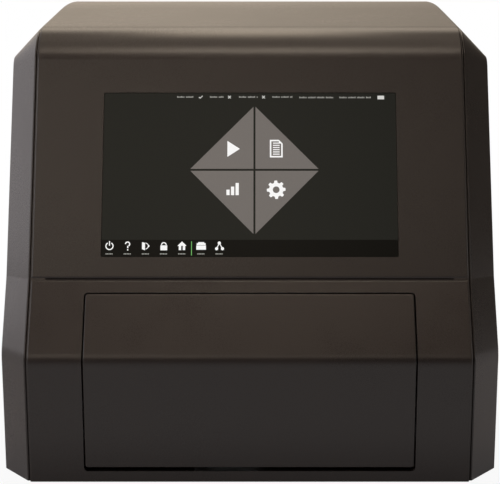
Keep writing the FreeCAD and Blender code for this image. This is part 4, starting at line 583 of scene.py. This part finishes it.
def moulded_finish(name, colour, rough, grain_size=1100.0, bump=0.12):
    """Matt moulding; its grain lightens the colour a little and roughens the skin."""
    finish = Finish(name, Specular_IOR_Level=0.4)
    grain = finish.noise(grain_size, 2.0, 0.6)
    light = tuple(channel * 1.18 for channel in colour) + (1.0,)
    finish.feed("Base Color", finish.mix(grain, colour + (1.0,), light))
    finish.feed("Roughness", rough + grain * 0.1)
    finish.bump(grain, bump, 0.0004)
    return finish


def board_finish():
    finish = Finish("solder_resist", Roughness=0.3)
    bands = {"wave_type": "BANDS", "bands_direction": "DIAGONAL"}
    pattern = {"Vector": finish.place(), "Scale": 160.0, "Distortion": 3.0, "Detail": 1.0}
    tracks = finish.node("ShaderNodeTexWave", bands, pattern) > TRACK_LEVEL
    finish.feed("Base Color", finish.mix(tracks, RESIST, TRACKS))
    finish.feed("Roughness", 0.26 + tracks * 0.1)
    return finish


keep("seal_rubber", moulded_finish("seal_foam", (0.012, 0.012, 0.012), 0.8))
keep("foot_rubber", moulded_finish("foot_rubber", (0.016, 0.016, 0.016), 0.7))
keep("belt_rubber", moulded_finish("belt_rubber", (0.014, 0.014, 0.014), 0.65, 600.0, 0.3))
keep("tray_plastic", moulded_finish("tray_plastic", (0.05, 0.05, 0.051), 0.45))
keep("nest_plastic", moulded_finish("nest_plastic", (0.42, 0.42, 0.41), 0.4))
keep("black_plastic", moulded_finish("black_plastic", (0.012, 0.012, 0.012), 0.42))
keep("circuit_board", board_finish())

# %% [markdown]
# Every solid belongs to one of the record's material slots. The table from slot to finish
# dresses them all, and the loop replaces the plain material that came with the solid.

# %% Dress every solid
for part in frame["record"]["subparts"]:
    solid = NODES[part["node"]]
    solid.data.materials.clear()
    solid.data.materials.append(FINISHES[part["material_slot"]])

# %% [markdown]
# ## Tongues in the seams
#
# The covers meet over a tongue, so a seam is a shallow groove and not an open slit. To find
# where a tongue lies we send rays from all round towards the middle of the cabinet, close
# beside the seam, and keep each point where one meets the covers' skin.

# %% Find the skin beside a seam
MM = 0.001
SWEEP_STEPS = 260
SWEEP_START = -50.0
SWEEP_TURN = 190.0
RAY_START = 1.5
HEAD_ON = -0.3
LOWEST_FACING = -0.5
REARMOST_FACING = 0.3
HOOD_LOW, HOOD_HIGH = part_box("hood")
FASCIA_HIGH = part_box("lower_fascia")[1]
PANEL_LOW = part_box("right_side_panel")[0]


def skin_at(start, heading):
    """Nearest point and normal where a ray meets the front covers, or nothing."""
    found = None
    for name in ("hood", "lower_fascia"):
        hit, at, normal = NODES[name].ray_cast(start, heading)[:3]
        if hit and normal.dot(heading) < HEAD_ON and (found is None or at.y < found[0].y):
            found = (at, normal)
    return found


def side_path(x):
    """Points and normals on the covers' skin from the front's foot round to the back."""
    middle = Vector((x, 0.0, HOOD_LOW.z))
    path = []
    for i in range(SWEEP_STEPS):
        angle = math.radians(SWEEP_START + SWEEP_TURN * i / (SWEEP_STEPS - 1))
        outward = Vector((0.0, -math.cos(angle), math.sin(angle)))
        found = skin_at(middle + outward * RAY_START, -outward)
        if found and found[1].z > LOWEST_FACING and found[1].y < REARMOST_FACING:
            path.append(found)
    return path


print("seams at the sides:", round((PANEL_LOW.x - HOOD_HIGH.x) / MM, 2), "mm wide")

# %% [markdown]
# A tongue is a thin closed strip: the same four-cornered section again and again along the
# seam, with a wall between each two. It lies a little below the skin, between the covers.

# %% Build a strip
SKIN_BESIDE = 4.0 * MM
SIDE_TONGUE_DEPTH = 0.8 * MM
FRONT_TONGUE_DEPTH = 0.9 * MM
TONGUE_THICKNESS = 1.2 * MM
TONGUE_PLAY = 0.05 * MM
GROOVE_SHARE = 0.3 * MM


def ribbon(name, sections):
    """Closed strip through four-cornered sections, dressed as the covers are."""
    mesh = bpy.data.meshes.new(name)
    points = [point for section in sections for point in section]
    faces = [(0, 1, 2, 3), tuple(len(points) - 1 - k for k in range(4))]
    for i in range(len(sections) - 1):
        for k in range(4):
            a, b = 4 * i + k, 4 * i + (k + 1) % 4
            faces.append((a, b, b + 4, a + 4))
    mesh.from_pydata(points, [], faces)
    build = bmesh.new()
    build.from_mesh(mesh)
    bmesh.ops.recalc_face_normals(build, faces=build.faces)
    build.to_mesh(mesh)
    build.free()
    piece = bpy.data.objects.new(name, mesh)
    mesh.materials.append(FINISHES["cover"])
    bpy.context.scene.collection.objects.link(piece)
    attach(piece, "cabinet")
    print(name, len(mesh.polygons), "faces")


print("tongues lie", SIDE_TONGUE_DEPTH / MM, "and", FRONT_TONGUE_DEPTH / MM, "mm deep")

# %% [markdown]
# The two side tongues follow the covers' outline round from the foot of the front to the
# back. The third lies along the level seam between the hood and the fascia, with the hood's
# lean.

# %% Lay the three tongues
for side, title in ((-1, "left"), (1, "right")):
    near = side * (HOOD_HIGH.x + TONGUE_PLAY)
    far = side * (PANEL_LOW.x - TONGUE_PLAY)
    groove = side * (PANEL_LOW.x + GROOVE_SHARE)
    sections = []
    for at, normal in side_path(side * (HOOD_HIGH.x - SKIN_BESIDE)):
        top = at - normal * SIDE_TONGUE_DEPTH
        base = top - normal * TONGUE_THICKNESS
        sections.append([(near, top.y, top.z), (groove, top.y, top.z)])
        sections[-1] += [(far, base.y, base.z), (near, base.y, base.z)]
    ribbon(title + "_seam_tongue", sections)

seam_middle = (HOOD_LOW.z + FASCIA_HIGH.z) / 2
before_hood = Vector((0.0, -RAY_START, HOOD_LOW.z + SKIN_BESIDE))
skin, skin_normal = skin_at(before_hood, Vector((0.0, 1.0, 0.0)))
lean = -skin_normal.z / skin_normal.y
seam_y = skin.y - (skin.z - seam_middle) * lean
low = FASCIA_HIGH.z + TONGUE_PLAY
high = HOOD_LOW.z - TONGUE_PLAY
front_y = seam_y + FRONT_TONGUE_DEPTH
back_y = front_y + TONGUE_THICKNESS
sections = []
for x in (-HOOD_HIGH.x, HOOD_HIGH.x):
    front_edge = [(x, front_y, low - GROOVE_SHARE), (x, front_y, high + GROOVE_SHARE)]
    sections.append(front_edge + [(x, back_y, high), (x, back_y, low)])
ribbon("front_seam_tongue", sections)

# %% [markdown]
# ## A drawing board on the glass
#
# What the screen shows is drawn in millimetres, across and up from the glass's centre, and
# laid on the leaning sheet. The lean and the centre are read from the glass itself: they are
# the mean of its faces that look forward, weighted by area, so the drawing follows the model.

# %% Find the glass's own axes
LOOKS_FORWARD = -0.5
glass_mesh = NODES["screen_glass"].data
facing = [p for p in glass_mesh.polygons if p.normal.y < LOOKS_FORWARD]
GLASS_NORMAL = sum((p.normal * p.area for p in facing), Vector()).normalized()
GLASS_UP = Vector((0.0, GLASS_NORMAL.z, -GLASS_NORMAL.y))
front_area = sum(p.area for p in facing)
GLASS_CENTRE = sum((p.center * p.area for p in facing), Vector()) / front_area
print("the glass leans", round(math.degrees(math.asin(GLASS_NORMAL.z)), 2), "degrees")


def on_glass(across, up, lift):
    """Point on the glass, from millimetres across and up and a lift off its surface."""
    at = GLASS_CENTRE + Vector((across * MM, 0.0, 0.0))
    return at + GLASS_UP * (up * MM) + GLASS_NORMAL * (lift * MM)


# %% [markdown]
# A drawing is a list of flat outlines. Each outline becomes one thin plate with a front and
# side walls, so that it is a real mesh. Rings and gear wheels are strips between an outer
# and an inner curve, strokes are thick lines between points.

# %% Cut flat shapes
INK_THICKNESS = 0.12


def plate(points):
    """A drawing with a single outline."""
    return [points]


def strip(outer, inner, closed=True):
    """Quads between two curves with as many points each."""
    count = len(outer)
    last = count if closed else count - 1
    quads = []
    for i in range(last):
        j = (i + 1) % count
        quads.append([outer[i], outer[j], inner[j], inner[i]])
    return quads


def circle(x, y, radius, start=0.0, end=360.0, steps=28):
    """Points along an arc, in degrees anticlockwise from the right."""
    angles = [math.radians(start + (end - start) * i / steps) for i in range(steps + 1)]
    return [(x + radius * math.cos(a), y + radius * math.sin(a)) for a in angles]


def ring(x, y, radius, width, start=0.0, end=360.0, steps=28):
    """Arc with a width, which lies inside the radius."""
    outer = circle(x, y, radius, start, end, steps)
    return strip(outer, circle(x, y, radius - width, start, end, steps), closed=False)


def disc(x, y, radius):
    return plate(circle(x, y, radius)[:-1])


def bar(x0, y0, x1, y1):
    return plate([(x0, y0), (x1, y0), (x1, y1), (x0, y1)])


def stroke(points, width):
    """Thick line through the points, each run its own quad."""
    quads = []
    for (x0, y0), (x1, y1) in zip(points, points[1:]):
        length = math.hypot(x1 - x0, y1 - y0)
        nx = -(y1 - y0) / length * width / 2
        ny = (x1 - x0) / length * width / 2
        quads.append([(x0 + nx, y0 + ny), (x0 - nx, y0 - ny), (x1 - nx, y1 - ny), (x1 + nx, y1 + ny)])
    return quads


print("a full ring is drawn as", len(ring(0.0, 0.0, 1.0, 0.2)), "quads")

# %% [markdown]
# One function lays any drawing on the glass. Every outline is turned the same way round
# first, so that all fronts face out, and then it gets a back and a wall on each side.

# %% Lay a drawing on the glass
def lay_on_glass(name, shapes, finish, lift=0.0):
    """Builds the drawn shapes as one thin piece on the glass."""
    mesh = bpy.data.meshes.new(name)
    build = bmesh.new()
    for outline in shapes:
        area = sum(a[0] * b[1] - b[0] * a[1] for a, b in zip(outline, outline[1:] + outline[:1]))
        around = outline if area > 0 else outline[::-1]
        back = [build.verts.new(on_glass(x, y, lift)) for x, y in around]
        front = [build.verts.new(on_glass(x, y, lift + INK_THICKNESS)) for x, y in around]
        build.faces.new(front)
        build.faces.new(back[::-1])
        for i in range(len(around)):
            j = (i + 1) % len(around)
            build.faces.new([back[i], back[j], front[j], front[i]])
    build.to_mesh(mesh)
    build.free()
    piece = bpy.data.objects.new(name, mesh)
    mesh.materials.append(finish)
    bpy.context.scene.collection.objects.link(piece)
    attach(piece, "cabinet")
    print(name, len(mesh.polygons), "faces")


print("each drawing stands", INK_THICKNESS, "mm off the glass")

# %% [markdown]
# Lit pixels need a finish of their own: a faint dark base and an even glow. The glow gets a
# slight waver from a noise, so it isn't dead flat, and stays below white.

# %% Mix the screen's inks
INK_DARK = (0.01, 0.01, 0.01, 1.0)
INK_LIGHT = (0.012, 0.012, 0.012, 1.0)
WAVER_LOW = 0.94


def ink_finish(name, colour):
    finish = Finish(name, Roughness=0.3)
    waver = finish.noise(500.0, 1.0)
    dim = tuple(channel * WAVER_LOW for channel in colour) + (1.0,)
    finish.glow(finish.mix(waver, dim, colour + (1.0,)))
    finish.feed("Base Color", finish.mix(waver, INK_DARK, INK_LIGHT))
    print(name, "glows", colour)
    return finish.material


TILE_GREY = ink_finish("tile_grey", (0.112, 0.102, 0.098))
ICON_WHITE = ink_finish("icon_white", (0.9, 0.9, 0.9))
LABEL_GREY = ink_finish("label_grey", (0.34, 0.34, 0.32))
SIGN_GREY = ink_finish("sign_grey", (0.62, 0.62, 0.6))
MARK_GREEN = ink_finish("mark_green", (0.12, 0.45, 0.1))

# %% [markdown]
# ## The diamond of tiles
#
# Four grey triangles meet in a diamond with a thin dark cross between them. Each triangle
# is the same drawing mirrored left or right, up or down, so a double loop makes all four.

# %% Draw the four tiles
DIAMOND_X = 5.2
DIAMOND_Y = 5.0
DIAMOND_HALF_WIDTH = 73.8
DIAMOND_HALF_HEIGHT = 74.7
CROSS_GAP = 2.3


def tile(side, level):
    """One triangle of the diamond, mirrored by the two signs."""
    gap = CROSS_GAP / 2
    wide = DIAMOND_HALF_WIDTH - gap
    tall = DIAMOND_HALF_HEIGHT - gap
    points = [(gap, gap), (wide, gap), (gap, tall)]
    return plate([(DIAMOND_X + side * x, DIAMOND_Y + level * y) for x, y in points])


tiles = [shape for side in (-1, 1) for level in (-1, 1) for shape in tile(side, level)]
lay_on_glass("screen_tiles", tiles, TILE_GREY)

# %% [markdown]
# ## Icons on the tiles
#
# Play, document, chart and gear: plain signs that any such machine might show, placed and
# sized in millimetres from the middle of the glass. The gear is a strip between a toothed
# curve and a round hole, which is how a wheel with a hole is drawn without cutting. All four
# stand a hair above the tiles.

# %% Draw the tile icons
GEAR_TEETH = 8
TOOTH_OUTLINE = (1.0, 1.0, 1.0, 0.78, 0.76, 0.76, 0.78, 1.0)
GEAR_HOLE = 0.36


def gear_sign(x, y, radius):
    """Toothed wheel; the outline of one tooth is repeated round the hole."""
    steps = GEAR_TEETH * len(TOOTH_OUTLINE)
    hole = radius * GEAR_HOLE
    outer = []
    inner = []
    for i in range(steps):
        angle = 2 * math.pi * i / steps
        high = radius * TOOTH_OUTLINE[i % len(TOOTH_OUTLINE)]
        outer.append((x + high * math.cos(angle), y + high * math.sin(angle)))
        inner.append((x + hole * math.cos(angle), y + hole * math.sin(angle)))
    return strip(outer, inner)


def document_sign(x, y, wide, tall):
    """Sheet with a folded corner and six lines."""
    shapes = []
    fold = wide * 0.3
    edge = wide * 0.12
    left, right = x - wide / 2, x + wide / 2
    low, high = y - tall / 2, y + tall / 2
    shapes += bar(left, low, left + edge, high)
    shapes += bar(right - edge, low, right, high - fold)
    shapes += bar(left + edge, low, right - edge, low + edge)
    shapes += bar(left + edge, high - edge, right - fold, high)
    shapes += plate([(right - fold, high), (right - fold, high - fold), (right, high - fold)])
    for i in range(6):
        line = low + tall * (0.16 + 0.125 * i)
        shapes += bar(left + 2 * edge, line, right - 2 * edge, line + tall * 0.055)
    return shapes


def chart_sign(x, y, size):
    """Three columns that rise to the right."""
    shapes = []
    for i, share in enumerate((0.45, 0.7, 1.0)):
        left = x - size / 2 + i * size * 0.37
        shapes += bar(left, y - size / 2, left + size * 0.26, y - size / 2 + size * share)
    return shapes


tile_icons = plate([(-25.6, 20.0), (-11.4, 29.3), (-25.6, 38.6)])
tile_icons += document_sign(30.0, 29.6, 14.6, 20.5)
tile_icons += chart_sign(-19.5, -17.2, 14.0)
tile_icons += gear_sign(29.8, -18.0, 10.6)
lay_on_glass("tile_icons", tile_icons, ICON_WHITE, INK_THICKNESS)

# %% [markdown]
# ## The toolbar and the status row
#
# Seven small signs sit in the dark toolbar, each over five short strokes where a label would
# be: power, help, a door to sign out by, a lock, a house, a case and a branching line. A thin
# green line parts the last two from the others.

# %% Draw the toolbar
TOOLBAR_Y = -82.3
SIGN = 4.6
LABEL_Y = -91.2
LABEL_START = -4.2
LABEL_STEP = 1.7
LABEL_WIDE = 1.1
LABEL_HALF_TALL = 0.6
LABEL_LETTERS = 5


def power_sign(x, y):
    return ring(x, y, SIGN, 1.2, 120, 420) + bar(x - 0.6, y + 0.4, x + 0.6, y + SIGN + 1.0)


def help_sign(x, y):
    hook = ring(x, y + 2.2, 3.0, 1.3, -60, 180, 16)
    return hook + bar(x - 0.4, y - 2.4, x + 0.9, y + 0.2) + bar(x - 0.4, y - 5.0, x + 0.9, y - 3.6)


def door_sign(x, y):
    leaf = plate([(x - 4.2, y - 3.6), (x - 0.8, y - 4.8), (x - 0.8, y + 3.6), (x - 4.2, y + 4.4)])
    way_out = plate([(x + 2.8, y - 1.8), (x + 4.6, y), (x + 2.8, y + 1.8)])
    return leaf + ring(x - 0.6, y, 3.8, 0.8, -85, 85, 12) + way_out


def lock_sign(x, y):
    return bar(x - 3.8, y - 4.8, x + 3.8, y + 0.8) + ring(x, y + 1.2, 3.2, 1.2, 0, 180, 14)


def home_sign(x, y):
    roof = plate([(x - 5.2, y + 0.2), (x + 5.2, y + 0.2), (x, y + 5.2)])
    return roof + bar(x - 3.6, y - 4.6, x - 0.9, y + 0.2) + bar(x + 0.9, y - 4.6, x + 3.6, y + 0.2)


def case_sign(x, y):
    body = bar(x - 5.4, y - 4.2, x + 5.4, y + 0.6) + bar(x - 5.0, y + 1.0, x + 5.0, y + 3.2)
    return body + bar(x - 3.4, y + 3.2, x + 3.4, y + 4.4)


def branch_sign(x, y):
    lines = stroke([(x - 3.0, y - 3.0), (x, y + 3.4), (x + 3.6, y - 3.0)], 1.0)
    return lines + disc(x - 3.0, y - 3.0, 1.8) + disc(x, y + 3.4, 1.8) + disc(x + 3.6, y - 3.0, 1.8)


toolbar_signs = [
    (-157.5, power_sign),
    (-137.2, help_sign),
    (-116.8, door_sign),
    (-96.5, lock_sign),
    (-76.1, home_sign),
    (-54.6, case_sign),
    (-34.2, branch_sign),
]
signs = []
labels = []
for x, draw in toolbar_signs:
    signs += draw(x, TOOLBAR_Y)
    for i in range(LABEL_LETTERS):
        left = x + LABEL_START + i * LABEL_STEP
        labels += bar(left, LABEL_Y - LABEL_HALF_TALL, left + LABEL_WIDE, LABEL_Y + LABEL_HALF_TALL)
lay_on_glass("toolbar_signs", signs, ICON_WHITE)
lay_on_glass("toolbar_labels", labels, LABEL_GREY)
lay_on_glass("toolbar_mark", bar(-65.8, -93.0, -65.0, -77.0), MARK_GREEN)

# %% [markdown]
# The status text is far too small to read, so it is drawn as runs of short uprights of two
# heights, which look like words from where the camera stands. Two crosses, a tick and a small
# keyboard sign stand between and after them.

# %% Draw the status row
STATUS_Y = 90.0
STATUS_DROP = 0.6
LEFT_WORDS = ((-83.3, -62.5), (-45.8, -29.2), (-12.5, 10.0), (25.8, 49.2))
RIGHT_WORDS = ((56.6, 96.3), (102.5, 139.0))
LETTER = 1.45
LETTER_SHARE = 0.62
LETTER_BELOW = 0.7
LETTER_ABOVE = 0.7
TALL_LETTER_MORE = 0.5
WORD_LETTERS = 6


def words(start, end, y):
    """Short uprights from start to end, with a gap after every sixth."""
    shapes = []
    for i in range(int((end - start) / LETTER)):
        if i % (WORD_LETTERS + 1) == WORD_LETTERS:
            continue
        left = start + i * LETTER
        above_line = LETTER_ABOVE + TALL_LETTER_MORE * (i % 3 == 0)
        shapes += bar(left, y - LETTER_BELOW, left + LETTER * LETTER_SHARE, y + above_line)
    return shapes


def cross_sign(x, y, half):
    first = stroke([(x - half, y - half), (x + half, y + half)], 0.9)
    return first + stroke([(x - half, y + half), (x + half, y - half)], 0.9)


status = []
for start, end in LEFT_WORDS:
    status += words(start, end, STATUS_Y)
for start, end in RIGHT_WORDS:
    status += words(start, end, STATUS_Y - STATUS_DROP)
marks = stroke([(-58.3, STATUS_Y), (-57.0, STATUS_Y - 1.4), (-54.2, STATUS_Y + 1.6)], 0.9)
marks += cross_sign(-23.5, STATUS_Y, 1.5) + cross_sign(15.5, STATUS_Y, 1.5)
marks += bar(146.0, STATUS_Y - 2.6, 153.6, STATUS_Y + 1.6)
lay_on_glass("status_text", status, LABEL_GREY)
lay_on_glass("status_signs", marks, SIGN_GREY)

# %% [markdown]
# ## Finish
#
# The dressed one may not be larger.
